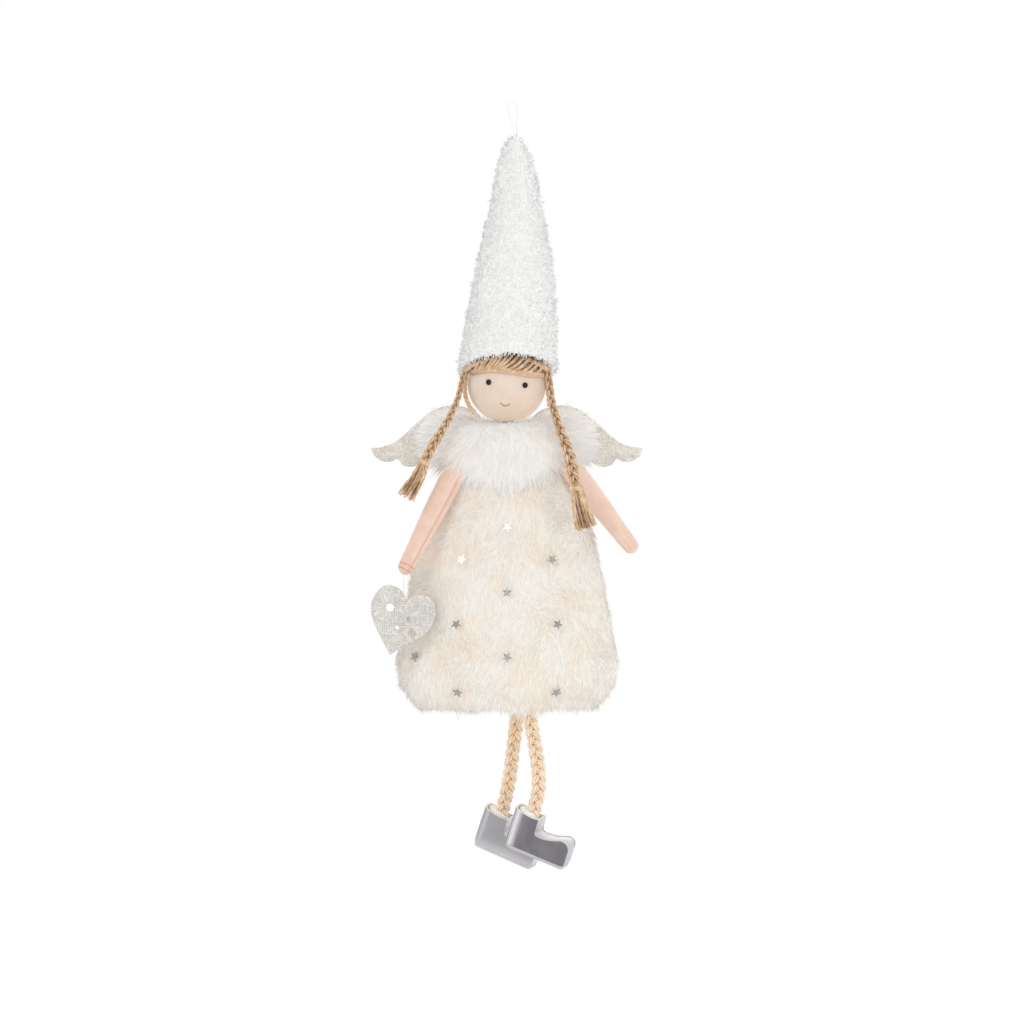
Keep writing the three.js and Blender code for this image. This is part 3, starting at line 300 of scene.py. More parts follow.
def finish(name, roughness, **sockets):
    """A bare finish: its node tree and its shader, with constants on the shader's own sockets."""
    material = bpy.data.materials.new(name)
    material.use_nodes = True
    shader = material.node_tree.nodes["Principled BSDF"]
    shader.inputs["Roughness"].default_value = roughness
    for key, value in sockets.items():
        shader.inputs[key.replace("_", " ")].default_value = value
    return material, material.node_tree, shader


def placed_group(tree, group, **values):
    box = tree.nodes.new("ShaderNodeGroup")
    box.node_tree = group
    for key, value in values.items():
        box.inputs[key.replace("_", " ")].default_value = value
    return box.outputs


def bumped(tree, shader, height, strength, distance):
    bump = node(tree, "ShaderNodeBump", {"Height": height}, Strength=strength, Distance=distance)
    tree.links.new(bump.outputs[0], shader.inputs["Normal"])


def pile_finish(name, root, tip, patch, patch_mm, amount):
    material, tree, shader = finish(name, 0.9, Sheen_Weight=0.1, Sheen_Roughness=0.6, Specular_IOR_Level=0.1)
    colour = placed_group(tree, PILE, Root=linear(root), Tip=linear(tip), Patch=linear(patch),
                          Patch_Scale=1000.0 / patch_mm, Patch_Amount=amount)
    tree.links.new(colour["Colour"], shader.inputs["Base Color"])
    return material


def knit_finish(name, pale, deep, seam_and_shade):
    """Smooth knit: two tones, and a darker third colour where a value on the points is high: a seam line and
    painted shade.
    """
    material, tree, shader = finish(name, 0.8, Sheen_Weight=0.25, Sheen_Roughness=0.5, Specular_IOR_Level=0.2)
    knit = placed_group(tree, KNIT, Scale=850.0)
    tone = stretched(tree, knit["Shade"], 0.35, 0.7)
    colour = mixed(tree, tone, linear(pale), linear(deep))
    tree.links.new(mixed(tree, attribute(tree, "seam_and_shade"), colour, linear(seam_and_shade)), shader.inputs["Base Color"])
    bumped(tree, shader, knit["Height"], 0.25, 0.00012)
    return material


def fibre_finish(name, pale, deep, tone_mm, roughness=0.85, groove_shade="#000000"):
    """Spun yarn: uneven tone, a fine fuzz, and painted shade in a darker colour where strands meet."""
    material, tree, shader = finish(name, roughness, Sheen_Weight=0.2, Sheen_Roughness=0.5,
                                    Specular_IOR_Level=0.25)
    spun = placed_group(tree, FIBRE, Tone_Scale=1000.0 / tone_mm)
    tone = stretched(tree, spun["Tone"], 0.32, 0.68)
    yarn = mixed(tree, tone, linear(pale), linear(deep))
    tree.links.new(mixed(tree, attribute(tree, "groove_shade"), yarn, linear(groove_shade)), shader.inputs["Base Color"])
    bumped(tree, shader, spun["Height"], 0.25, 0.00006)
    return material


def glitter_finish(name, pale, deep, metal, roughness, grain_mm):
    material, tree, shader = finish(name, roughness, Metallic=metal)
    grains = placed_group(tree, GLITTER, Grain_Scale=1000.0 / grain_mm)
    cloud = mixed(tree, stretched(tree, grains["Cloud"], 0.35, 0.65), linear(pale), linear(deep))
    spark = stretched(tree, grains["Grain"], 0.0, 1.0, 0.74, 1.14)
    cloth = mixed(tree, 1.0, cloud, stretched(tree, grains["Weave"], 0.0, 0.7, 0.88, 1.03), "MULTIPLY")
    tree.links.new(mixed(tree, 1.0, cloth, spark, "MULTIPLY"), shader.inputs["Base Color"])
    bumped(tree, shader, grains["Height"], 0.4, 0.0001)
    return material


def sheet_metal_finish(name, pale, deep, metal, roughness, shade_colour="#6f6d72", highlight_colour="#e3e1e3"):
    """Satin silver: soft clouds of tone, a fine grain, and painted shade and a painted highlight read from
    two values on its points.
    """
    material, tree, shader = finish(name, roughness, Metallic=metal, Coat_Weight=0.12, Coat_Roughness=0.3)
    spun = placed_group(tree, FIBRE, Fuzz_Scale=3200.0, Tone_Scale=170.0)
    tone = stretched(tree, spun["Tone"], 0.35, 0.65)
    colour = mixed(tree, tone, linear(pale), linear(deep))
    # Painted shade mixed in, then a painted highlight
    colour = mixed(tree, attribute(tree, "painted_shade"), colour, linear(shade_colour))
    tree.links.new(mixed(tree, attribute(tree, "gleam"), colour, linear(highlight_colour)), shader.inputs["Base Color"])
    tree.links.new(stretched(tree, spun["Tone"], 0.3, 0.7, roughness - 0.05, roughness + 0.1),
                   shader.inputs["Roughness"])
    bumped(tree, shader, spun["Height"], 0.08, 0.0001)
    return material


# A pile's first colour is its roots', darker and warmer than its tip: painted shade deep in the pile.
HAT_FLEECE = pile_finish("hat_fleece", "#f4f3f1", "#fdfdfc", "#f8f7f5", 16, 0.5)
COLLAR_FUR = pile_finish("collar_fur", "#f5ebdf", "#fdfbf7", "#f9f0e6", 14, 0.5)
# A paler copy of the collar fur, for the wings: painted light on fur that sits in shade.
LIT_WING_FUR = pile_finish("wing_fur", "#fcf8f2", "#fffefb", "#fdf6ee", 14, 0.5)
DRESS_PLUSH = pile_finish("dress_plush", "#f2e6d7", "#faf6ee", "#f8e3cd", 15, 0.5)
# The skin's third colour is painted shade towards the chin.
SKIN_KNIT = knit_finish("skin_knit", "#e6d6c5", "#e1ceba", "#e6bf9c")
ARM_KNIT = knit_finish("arm_knit", "#eed1c1", "#e8c4b2", "#d59482")
# The darkest colour given to each yarn here is painted shade where its strands meet.
HAIR_YARN = fibre_finish("hair_yarn", "#efd4b5", "#cfa982", 2.4, groove_shade="#966d48")
# Dark yarn behind the fringe: painted shade in the gaps between its strands.
HAIR_PAINTED_SHADE = fibre_finish("hair_painted_shade", "#ab8059", "#8a6442", 2.0)
LEG_JUTE = fibre_finish("leg_jute", "#fae9d4", "#f2dabe", 2.6, groove_shade="#e0bb92")
SEAM_THREAD = fibre_finish("seam_thread", "#dca291", "#cd8a78", 1.5, 0.7)
WHITE_THREAD = fibre_finish("white_thread", "#faf9f6", "#efedea", 3.0, 0.7)
MOUTH_THREAD = fibre_finish("mouth_thread", "#d58c86", "#c2706c", 1.5, 0.7)
WHITE_FELT = fibre_finish("white_felt", "#faf8f5", "#efece7", 1.2)
WING_CLOTH = glitter_finish("wing_glitter", "#efebe3", "#e2ddd4", 0.25, 0.45, 0.42)
WING_FLAKE = glitter_finish("wing_flake", "#f6f1e8", "#e0dbd1", 0.65, 0.3, 0.9)
HEART_BOARD = glitter_finish("heart_glitter", "#e6e2dc", "#d8d4cd", 0.3, 0.45, 0.42)
HEART_FLAKE = glitter_finish("heart_flake", "#f2efe9", "#dbd7d0", 0.65, 0.3, 0.9)
# A paler copy of the star foil for the two stars that lie towards a lamp: a painted glint.
GLINT_FOIL = sheet_metal_finish("glint_foil", "#eceae9", "#dbdad9", 0.9, 0.3)
STAR_FOIL = sheet_metal_finish("star_foil", "#b0aeae", "#8f8d8e", 0.9, 0.26)
BOOT_SIDE = sheet_metal_finish("boot_side", "#7c7a7e", "#727075", 0.6, 0.36)
# The gusset's last two colours are its painted shade and its painted highlight.
BOOT_GUSSET = sheet_metal_finish("boot_gusset", "#c9c6c8", "#bfbcbf", 0.55, 0.34, "#c4c1c3", "#d4d1d3")
EYE_BEAD, eye_tree, eye_shader = finish("eye_bead", 0.3, Specular_IOR_Level=0.35)
eye_spun = placed_group(eye_tree, FIBRE, Tone_Scale=900.0)
eye_tree.links.new(mixed(eye_tree, eye_spun["Tone"], linear("#040303"), linear("#0d0a09")),
                   eye_shader.inputs["Base Color"])

# Making


def shown(name, data):
    """A new object of this data in the scene, at the origin."""
    thing = bpy.data.objects.new(name, data)
    bpy.context.scene.collection.objects.link(thing)
    return thing


def shaded(mesh, smooth=True):
    mesh.polygons.foreach_set("use_smooth", [smooth] * len(mesh.polygons))


def marked(mesh, label, values):
    """A value for each point of a mesh, under a name that its finish reads."""
    mark = mesh.attributes.new(label, "FLOAT", "POINT")
    mark.data.foreach_set("value", values)


def made(name, bm, *materials):
    """A bmesh as an object at the origin."""
    mesh = bpy.data.meshes.new(name)
    bm.to_mesh(mesh)
    bm.free()
    shaded(mesh)
    for material in materials:
        mesh.materials.append(material)
    return shown(name, mesh)


def curve_mesh(name, curve):
    """The mesh that a curve gives. The curve itself goes."""
    wire = shown(name, curve)
    mesh = bpy.data.meshes.new_from_object(wire.evaluated_get(bpy.context.evaluated_depsgraph_get()))
    bpy.data.objects.remove(wire)
    bpy.data.curves.remove(curve)
    mesh.name = name
    return mesh


def settled(thing):
    """The modifiers made part of the mesh."""
    seen = thing.evaluated_get(bpy.context.evaluated_depsgraph_get())
    mesh = bpy.data.meshes.new_from_object(seen)
    thing.modifiers.clear()
    thing.data = mesh
    return thing


def sewn(thing, body, slot, *nodes):
    """The piece rides its body and stands for these nodes. slot is not used."""
    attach(thing, body)
    if nodes:
        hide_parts(*nodes)
    return thing


def subdivided(thing, levels):
    smooth = thing.modifiers.new("smooth", "SUBSURF")
    smooth.levels = levels
    smooth.render_levels = levels
    return thing


def walled(thing, thickness):
    """A wall's thickness set inwards from the cloth's outside. Gives the modifier."""
    wall = thing.modifiers.new("wall", "SOLIDIFY")
    wall.thickness = thickness * MM
    wall.offset = -1
    return wall


def raised(bm, faces, way):
    """Faces drawn out of a shape along a way. Gives the moved faces."""
    moved = bmesh.ops.extrude_face_region(bm, geom=faces)["geom"]
    bmesh.ops.translate(bm, vec=way, verts=[part for part in moved if isinstance(part, bmesh.types.BMVert)])
    return [part for part in moved if isinstance(part, bmesh.types.BMFace)]


def cut(bm, place, way, **how):
    """A plane's cut through a whole shape."""
    whole = bm.verts[:] + bm.edges[:] + bm.faces[:]
    bmesh.ops.bisect_plane(bm, geom=whole, plane_co=place, plane_no=way, **how)


def outward(bm):
    bmesh.ops.remove_doubles(bm, verts=bm.verts, dist=1e-6)
    bmesh.ops.recalc_face_normals(bm, faces=bm.faces)


def numbered(bm):
    """The same spun shape with its corners and faces in order of place, so that every run is alike."""

    def place(vert):
        x, y, z = vert.co
        return round(z, 7), round(math.atan2(y, x), 4), round(math.hypot(x, y), 7)

    outward(bm)
    corners = sorted(bm.verts, key=place)
    order = {vert: k for k, vert in enumerate(corners)}
    fresh = bmesh.new()
    spots = [fresh.verts.new(vert.co) for vert in corners]
    rings = []
    for face in bm.faces:
        ring = [order[vert] for vert in face.verts]
        first = ring.index(min(ring))
        rings.append(ring[first:] + ring[:first])
    for ring in sorted(rings):
        fresh.faces.new([spots[k] for k in ring])
    bm.free()
    return fresh


def spun_round(bm, steps):
    """A line or ring spun all the way round Z."""
    bmesh.ops.spin(bm, geom=bm.verts[:] + bm.edges[:], cent=(0, 0, 0), axis=(0, 0, 1), angle=math.tau,
                   steps=steps, use_merge=True)
    return numbered(bm)


def turned(profile, steps):
    """A profile of radius and height, in millimetres, spun about Z."""
    bm = bmesh.new()
    verts = [bm.verts.new((max(r, 0) * MM, 0, z * MM)) for r, z in profile]
    for pair in zip(verts, verts[1:]):
        bm.edges.new(pair)
    return spun_round(bm, steps)


def gone_along(route):
    """The length gone at each point of a route."""
    return np.concatenate([[0], np.cumsum(np.linalg.norm(np.diff(route, axis=0), axis=1))])


def nearest(places):
    """A search for the nearest of some places."""
    tree = KDTree(len(places))
    for k, place in enumerate(places):
        tree.insert(place, k)
    tree.balance()
    return tree


def smooth_route(points, count):
    """Evenly spaced points on a smooth curve through the given ones."""
    p = np.asarray(points, float)
    p = np.vstack([2 * p[0] - p[1], p, 2 * p[-1] - p[-2]])
    t = np.concatenate([[0], np.cumsum(np.linalg.norm(np.diff(p, axis=0), axis=1) ** 0.5)])
    runs = []
    for i in range(1, len(p) - 2):
        u = np.linspace(t[i], t[i + 1], 24, endpoint=i == len(p) - 3)[:, None]

        def between(a, b, pa, pb):
            return (t[b] - u) / (t[b] - t[a]) * pa + (u - t[a]) / (t[b] - t[a]) * pb

        first = between(i - 1, i, p[i - 1], p[i])
        second = between(i, i + 1, p[i], p[i + 1])
        third = between(i + 1, i + 2, p[i + 1], p[i + 2])
        early, late = between(i - 1, i + 1, first, second), between(i, i + 2, second, third)
        runs.append(between(i, i + 1, early, late))
    fine = np.vstack(runs)
    gone = gone_along(fine)
    want = np.linspace(0, gone[-1], count)
    return np.stack([np.interp(want, gone, fine[:, k]) for k in range(3)], 1), gone[-1]


def unit(vectors):
    return vectors / np.maximum(np.linalg.norm(vectors, axis=-1, keepdims=True), 1e-9)


def sides_of(route, front=(0.0, -1.0, 0.0)):
    """For each point of a route: the way on, the way across and the way to the front."""
    on = unit(np.gradient(route, axis=0))
    front = np.asarray(front, float)
    facing = unit(front - (on @ front)[:, None] * on)
    return on, np.cross(on, facing), facing


def strands(name, routes, radius, material, rounds=1, ends=None, swell=None):
    """Round strands along routes in millimetres.

    ends is the share of the radius left at a strand's two ends, swell its share all the way along.
    """
    curve = bpy.data.curves.new(name, "CURVE")
    curve.dimensions = "3D"
    curve.bevel_depth = radius * MM
    curve.bevel_resolution = rounds
    curve.use_fill_caps = True
    for route in routes:
        line = curve.splines.new("POLY")
        line.points.add(len(route) - 1)
        places = np.column_stack([np.asarray(route) * MM, np.ones(len(route))])
        line.points.foreach_set("co", places.ravel())
        if ends is not None:
            share = np.linspace(0, 1, len(route))
            line.points.foreach_set("radius", np.interp(share, [0, 0.12, 0.88, 1], [ends[0], 1, 1, ends[1]]))
        if swell is not None:
            line.points.foreach_set("radius", np.asarray(swell, float))
    mesh = curve_mesh(name, curve)
    mesh.materials.clear()
    mesh.materials.append(material)
    shaded(mesh)
    return shown(name, mesh)


def mark_groove_shade(thing, lines, reach, low, high):
    """Marks the points that lie deep between strands, for painted shade there: lines run along the middles,
    reach is their radius.
    """
    places = np.vstack(lines)
    reach = np.concatenate([np.broadcast_to(r, len(line)) for r, line in zip(reach, lines)])
    tree = nearest(places)
    found = [tree.find(vert.co / MM)[1:] for vert in thing.data.vertices]
    share = np.array([gap / reach[k] for k, gap in found])
    deep = np.clip((high - share) / (high - low), 0, 1)
    mark = thing.data.attributes.get("groove_shade")
    if mark is None:
        mark = thing.data.attributes.new("groove_shade", "FLOAT", "POINT")
    before = np.empty(len(deep), np.float32)
    mark.data.foreach_get("value", before)
    mark.data.foreach_set("value", np.maximum(before, deep).astype(np.float32))


def twisted(route, plies, spread, lay, start=0.0):
    """Plies wound round a route: spread is their distance from it and lay the length of one turn."""
    _, across, facing = sides_of(route)
    gone = gone_along(route)
    spread = np.broadcast_to(spread, gone.shape)[:, None]
    turns = [start + math.tau * (gone / lay + k / plies) for k in range(plies)]
    return [route + spread * (np.cos(a)[:, None] * across + np.sin(a)[:, None] * facing) for a in turns]


def plaited(route, wide, deep, pitch):
    """Three strands of a flat plait along a route, with widths given at its points."""
    _, across, facing = sides_of(route)
    gone = gone_along(route)
    wide = np.broadcast_to(wide, gone.shape)
    deep = np.broadcast_to(deep, gone.shape)
    out = []
    for k in range(3):
        turn = math.tau * (gone / pitch + k / 3)
        aside, ahead = wide * np.sin(turn), deep * np.sin(2 * turn)
        out.append(route + aside[:, None] * across + ahead[:, None] * facing)
    return out


def scattered(thing, count, seed, keep=None):
    """Seeded points spread evenly over a mesh, with its normals there, in millimetres."""
    mesh = thing.data
    mesh.calc_loop_triangles()
    places = np.empty(len(mesh.vertices) * 3)
    ways = np.empty(len(mesh.vertices) * 3)
    mesh.vertices.foreach_get("co", places)
    mesh.vertices.foreach_get("normal", ways)
    corners = np.empty(len(mesh.loop_triangles) * 3, int)
    mesh.loop_triangles.foreach_get("vertices", corners)
    places, ways, corners = places.reshape(-1, 3) / MM, ways.reshape(-1, 3), corners.reshape(-1, 3)
    a, b, c = (places[corners[:, k]] for k in range(3))
    area = np.linalg.norm(np.cross(b - a, c - a), axis=1)
    rng = np.random.default_rng(seed)
    points, normals, have = [], [], 0
    while have < count:
        pick = rng.choice(len(corners), size=2 * count, p=area / area.sum())
        u, v = np.sqrt(rng.random(len(pick))), rng.random(len(pick))
        share = np.stack([1 - u, u * (1 - v), u * v], 1)[:, :, None]
        spots = (places[corners[pick]] * share).sum(1)
        outs = unit((ways[corners[pick]] * share).sum(1))
        mask = np.ones(len(pick), bool) if keep is None else keep(spots, outs)
        points.append(spots[mask])
        normals.append(outs[mask])
        have += int(mask.sum())
    return np.vstack(points)[:count], np.vstack(normals)[:count]


def repeated(name, shape, triangles, places, material, marks, facing=None):
    """One small shape at many places as one mesh, with a value for each point under each mark's name.

    facing, when given, is the way out of the skin, and the shapes take their shading from it.
    """
    many, each = places.shape[:2]
    faces = (np.asarray(triangles)[None] + each * np.arange(many)[:, None, None]).reshape(-1, 3)
    mesh = bpy.data.meshes.new(name)
    mesh.vertices.add(many * each)
    mesh.vertices.foreach_set("co", (places * MM).astype(np.float32).ravel())
    mesh.loops.add(faces.size)
    mesh.loops.foreach_set("vertex_index", faces.ravel().astype(np.int32))
    mesh.polygons.add(len(faces))
    mesh.polygons.foreach_set("loop_start", np.arange(0, faces.size, 3, dtype=np.int32))
    mesh.polygons.foreach_set("use_smooth", np.full(len(faces), shape == "round"))
    mesh.update(calc_edges=True)
    for label, values in marks.items():
        marked(mesh, label, np.broadcast_to(values, (many, each)).astype(np.float32).ravel())
    if facing is not None:
        own = np.empty(many * each * 3)
        mesh.vertices.foreach_get("normal", own)
        soft = unit(0.4 * own.reshape(-1, 3) + 0.6 * np.repeat(facing, each, axis=0))
        mesh.normals_split_custom_set_from_vertices(soft)
    mesh.materials.append(material)
    return shown(name, mesh)


def gathered(roots, spacing, seed):
    """For each root, the nearest of a few seeded middles about spacing apart."""
    rng = np.random.default_rng(seed)
    low = roots.min(0)
    order = rng.permutation(len(roots))
    taken, grid = [], set()
    for i in order:
        cell = tuple(((roots[i] - low) / spacing).astype(int))
        if cell not in grid:
            grid.add(cell)
            taken.append(i)
    middles = roots[taken]
    tree = nearest(middles)
    return middles[[tree.find(root)[1] for root in roots]]


def swirl(roots, outs, span, seed):
    """A slowly changing way along the skin, one turn of it about span millimetres across."""
    shift = Vector((13.7 * seed, 7.1 * seed, 3.3 * seed))
    ways = np.array([noise.noise_vector(Vector(root) / span + shift) for root in roots])
    return ways - (ways * outs).sum(1, keepdims=True) * outs


def lets_light_through(pile):
    """Loose fur throws no hard shade on what is beside it."""
    pile.visible_shadow = False
    pile.visible_diffuse = False
    return pile


def ring_corners(sides, across, over):
    """The corners of a small ring for each place, as ways from its middle."""
    turns = math.tau * np.arange(sides) / sides
    return np.cos(turns)[None, :, None] * across[:, None] + np.sin(turns)[None, :, None] * over[:, None]


# Thin fur passes light on, so its normals lean to the front and up, and those of short pile do so less
FUR_LEAN = np.array((0, -0.55, 0.3))
PLUSH_LEAN = np.array((0, -0.35, 0.12))
# Where a lock has a ring of corners, as shares of its length
FUR_LEVELS = (0.0, 0.4, 0.75)
PLUSH_LEVELS = (0.0, 0.55)


def locks(name, roots, out, comb, length, width, material, seed, lift, curl, levels, lean):
    """Tapered locks of pile that rise from their roots and lie over along comb, with normals that lean."""
    rng = np.random.default_rng(seed)
    n = len(roots)
    lift = np.broadcast_to(lift, (n,))
    length = np.broadcast_to(length, (n,)) * rng.uniform(0.78, 1.15, n)
    width = np.broadcast_to(width, (n,)) * rng.uniform(0.8, 1.2, n)
    levels = np.array([*levels, 1.0])
    lie = np.linalg.norm(comb, axis=1)
    way = unit(lift[:, None] * out + comb)
    across = unit(np.cross(way, unit(rng.normal(size=(n, 3)))))
    over = np.cross(way, across)
    rows = []
    for t in levels:
        rise = lift * t * (1 - 0.42 * t * np.clip(lie, 0, 1.2))
        centre = roots + length[:, None] * (rise[:, None] * out + comb * t ** 1.45)
        centre += (curl * length * math.sin(math.pi * t))[:, None] * across
        thick = width * (1 - t) ** 0.55
        if t == 1.0:
            rows.append(centre[:, None])
            continue
        rows.append(centre[:, None] + thick[:, None, None] * ring_corners(3, across, over))
    places = np.concatenate(rows, 1)
    triangles = [(0, 2, 1)]
    for k in range(len(levels) - 2):
        for j in range(3):
            a, b = 3 * k + j, 3 * k + (j + 1) % 3
            triangles += [(a, b, b + 3), (a, b + 3, a + 3)]
    tip = 3 * (len(levels) - 1)
    triangles += [(tip - 3 + j, tip - 3 + (j + 1) % 3, tip) for j in range(3)]
    along = np.concatenate([np.repeat(levels[:-1], 3), [1.0]])[None]
    marks = {"tip": along, "tone": rng.random((n, 1))}
    facing = unit(out + 0.3 * comb + lean)
    return lets_light_through(repeated(name, "round", triangles, places, material, marks, facing))


def flakes(name, spots, outs, size, tilt, material, seed):
    """Small five-sided glitter flakes on a surface, each at its own slight tilt."""
    rng = np.random.default_rng(seed)
    n = len(spots)
    face = unit(outs + tilt * rng.normal(size=(n, 3)))
    across = unit(np.cross(face, unit(rng.normal(size=(n, 3)))))
    over = np.cross(face, across)
    size = size * rng.uniform(0.7, 1.25, n)[:, None, None]
    rim = size * ring_corners(5, across, over)
    top = 0.22 * size * face[:, None]
    places = np.concatenate([spots[:, None] + rim, spots[:, None] + top], 1)
    triangles = [(j, (j + 1) % 5, 5) for j in range(5)] + [(0, 2, 1), (0, 3, 2), (0, 4, 3)]
    return repeated(name, "flat", triangles, places, material, {"tone": rng.random((n, 1))})


def flat_piece(name, outlines, thickness, edge, place, material):
    """A flat piece cut from outlines in the front view, with rounded edges. The outer outline comes first."""
    curve = bpy.data.curves.new(name, "CURVE")
    curve.dimensions = "2D"
    curve.fill_mode = "BOTH"
    curve.extrude = (thickness / 2 - edge) * MM
    curve.bevel_depth = edge * MM
    curve.bevel_resolution = 2
    curve.offset = -edge * MM
    for outline in outlines:
        line = curve.splines.new("POLY")
        line.points.add(len(outline) - 1)
        line.points.foreach_set("co", [v for x, y in outline for v in (x * MM, y * MM, 0, 1)])
        line.use_cyclic_u = True
    mesh = curve_mesh(name, curve)
    bm = bmesh.new()
    bm.from_mesh(mesh)
    bpy.data.meshes.remove(mesh)
    upright = Matrix(((1, 0, 0, 0), (0, 0, -1, 0), (0, 1, 0, 0), (0, 0, 0, 1)))
    bmesh.ops.transform(bm, matrix=place @ upright, verts=bm.verts)
    outward(bm)
    piece = made(name, bm, material)
    piece.data.set_sharp_from_angle(angle=math.radians(50))
    return piece


# The pieces


def hanging_thread():
    """The thread loop, sewn to the front of the hat by a small knot."""
    route, length = smooth_route(LOOP_ROUTE, 150)
    thread = strands("hanging_thread", twisted(route, 2, 0.15, 2.4), 0.17, WHITE_THREAD)
    sewn(thread, "loop", "white_thread", "hanging_loop")
    turn = np.linspace(0, math.tau, 60)
    trefoil = np.stack([np.sin(turn) + 2 * np.sin(2 * turn), 0.8 * np.sin(3 * turn),
                        np.cos(turn) - 2 * np.cos(2 * turn)], 1) * 0.21
    knot = strands("thread_knot", [KNOT + trefoil], 0.28, WHITE_THREAD, 2)
    sewn(knot, "loop", "white_thread", "loop_knot")


def plait_rope(name, route, radius):
    """Plaited jute: three strands of five plies."""
    routes = []
    middles = plaited(route, 0.66 * radius, 0.36 * radius, 4.6 * radius)
    for k, strand in enumerate(middles):
        routes += twisted(strand, 5, 0.32 * radius, 4.4 * radius, 1.3 * k)
    rope = strands(name, routes, 0.2 * radius, LEG_JUTE)
    mark_groove_shade(rope, middles, [0.5 * radius] * 3, 0.5, 0.85)
    mark_groove_shade(rope, [route], [1.1 * radius], 0.3, 0.7)
    return rope


def rope_legs():
    for side, (hip, offsets) in LEGS.items():
        route, length = smooth_route(np.array(hip) + np.array(offsets), 130)
        leg = plait_rope(f"{side}_leg", route, ROPE / 2)
        sewn(leg, f"{side}_leg", "leg_rope", f"{side}_leg_rope")
        turn = np.linspace(0, 2 * math.tau, 64)
        ring = np.stack([2.9 * np.cos(turn), 2.9 * np.sin(turn), 0.55 * turn / math.tau - 0.4], 1)
        wraps = twisted(np.array(hip) + (0, 0, 2.4) + ring, 2, 0.3, 2.4)
        knot = strands(f"{side}_hip_wrap", wraps, 0.34, LEG_JUTE, 0)
        sewn(knot, "torso", "leg_rope", f"{side}_hip_knot")


def heart_place():
    x, y, z = ARMS["left"][1]
    return Matrix.Translation(spot((x, y, z - HEART_DROP))) @ Matrix.Rotation(HEART_TURN, 4, "Y")


def heart_thread():
    """The doubled thread that carries the heart, bent round inside its core."""
    hand = np.array(ARMS["left"][1])
    low, wide = HEART_THREAD_LOW, HEART_THREAD_HALF
    half = [(0.57, 0, low + 0.23), (wide, 0, low + 0.8), (wide, 0, -10.7), (wide, 0, -5.35), (wide, 0, 0)]
    points = [(-x, y, z) for x, y, z in reversed(half)] + [(0, 0, low)] + half
    route, length = smooth_route(np.array(points) + hand - (0, 0, 3.2), 90)
    thread = strands("heart_charm_thread", twisted(route, 2, 0.13, 2.0), 0.14, WHITE_THREAD)
    sewn(thread, "heart", "white_thread", "heart_thread")


def hat_lean(z):
    share = (z - HAT_RIM_Z) / HAT_HEIGHT
    bow = 4 * HAT_BOW * np.clip(share, 0, 1) * (1 - np.clip(share, 0, 1))
    return HEAD[0] + (HAT_TIP[0] - HEAD[0]) * share + bow


def fleece_hat():
    """A tall cone of nubbly fleece, its rim tipped up at the front, covered in small curls."""
    drops, widths = np.array(HAT_SHAPE).T
    fine = np.linspace(0.03, 1.12, 110)
    wide = np.interp(fine, drops, widths)
    wide = np.convolve(np.pad(wide, 6, mode="edge"), np.ones(13) / 13, "valid")
    profile = [(0, HAT_TIP[1] - 2.4)]
    for down, width in zip(fine, wide):
        profile.append((max(HAT_RIM_RADIUS * width - HAT_INSET, 0.6), HAT_TIP[1] - HAT_HEIGHT * down - 0.8))
    bm = turned(profile, 150)
    bm.normal_update()
    for vert in bm.verts:
        place = vert.co / MM
        nub = noise.noise(place / 2.6) + 0.6 * noise.noise(place / 6.5 + Vector((9, 4, 2)))
        vert.co += vert.normal * 0.55 * nub * MM
    for vert in bm.verts:
        vert.co.x += hat_lean(vert.co.z / MM) * MM
    rim_way = (0, math.sin(HAT_RIM_TILT), math.cos(HAT_RIM_TILT))
    cut(bm, spot((0, 0, HAT_RIM_Z + 1.0)), rim_way, dist=1e-7, clear_inner=True)
    cloth = made("hat_cloth", bm, HAT_FLEECE)
    walled(cloth, 1.4)
    settled(cloth)
    sewn(cloth, "head", "hat_fleece", "hat_fleece", "hat_filling")

    def outside(spots, outs):
        middle = np.stack([hat_lean(spots[:, 2]), np.zeros(len(spots)), spots[:, 2]], 1)
        away = unit(spots - middle)
        rim = outs @ np.array(rim_way) < -0.8
        return ((outs * away).sum(1) > 0.2) | rim

    roots, outs = scattered(cloth, HAT_CURLS, 11, outside)
    rng = np.random.default_rng(13)
    middles = gathered(roots, 2.6, 12)
    route, _ = smooth_route(LOOP_ROUTE, 120)
    thread = nearest(route)
    gap = np.array([thread.find(root)[2] for root in roots])
    pressed = np.clip((gap - 1.0) / 3.0, 0.25, 1.0)
    comb = 0.16 * (middles - roots) + 0.8 * swirl(roots, outs, 4.0, 2) + rng.normal(size=roots.shape) * 0.2
    lift = rng.uniform(0.35, 0.75, len(roots))
    tufts = locks("hat_fleece_curls", roots, outs, comb, 2.9 * pressed, 0.4, HAT_FLEECE, 14, lift, 0.3,
                  PLUSH_LEVELS, 1.6 * outs + PLUSH_LEAN)
    sewn(tufts, "head", "hat_fleece")


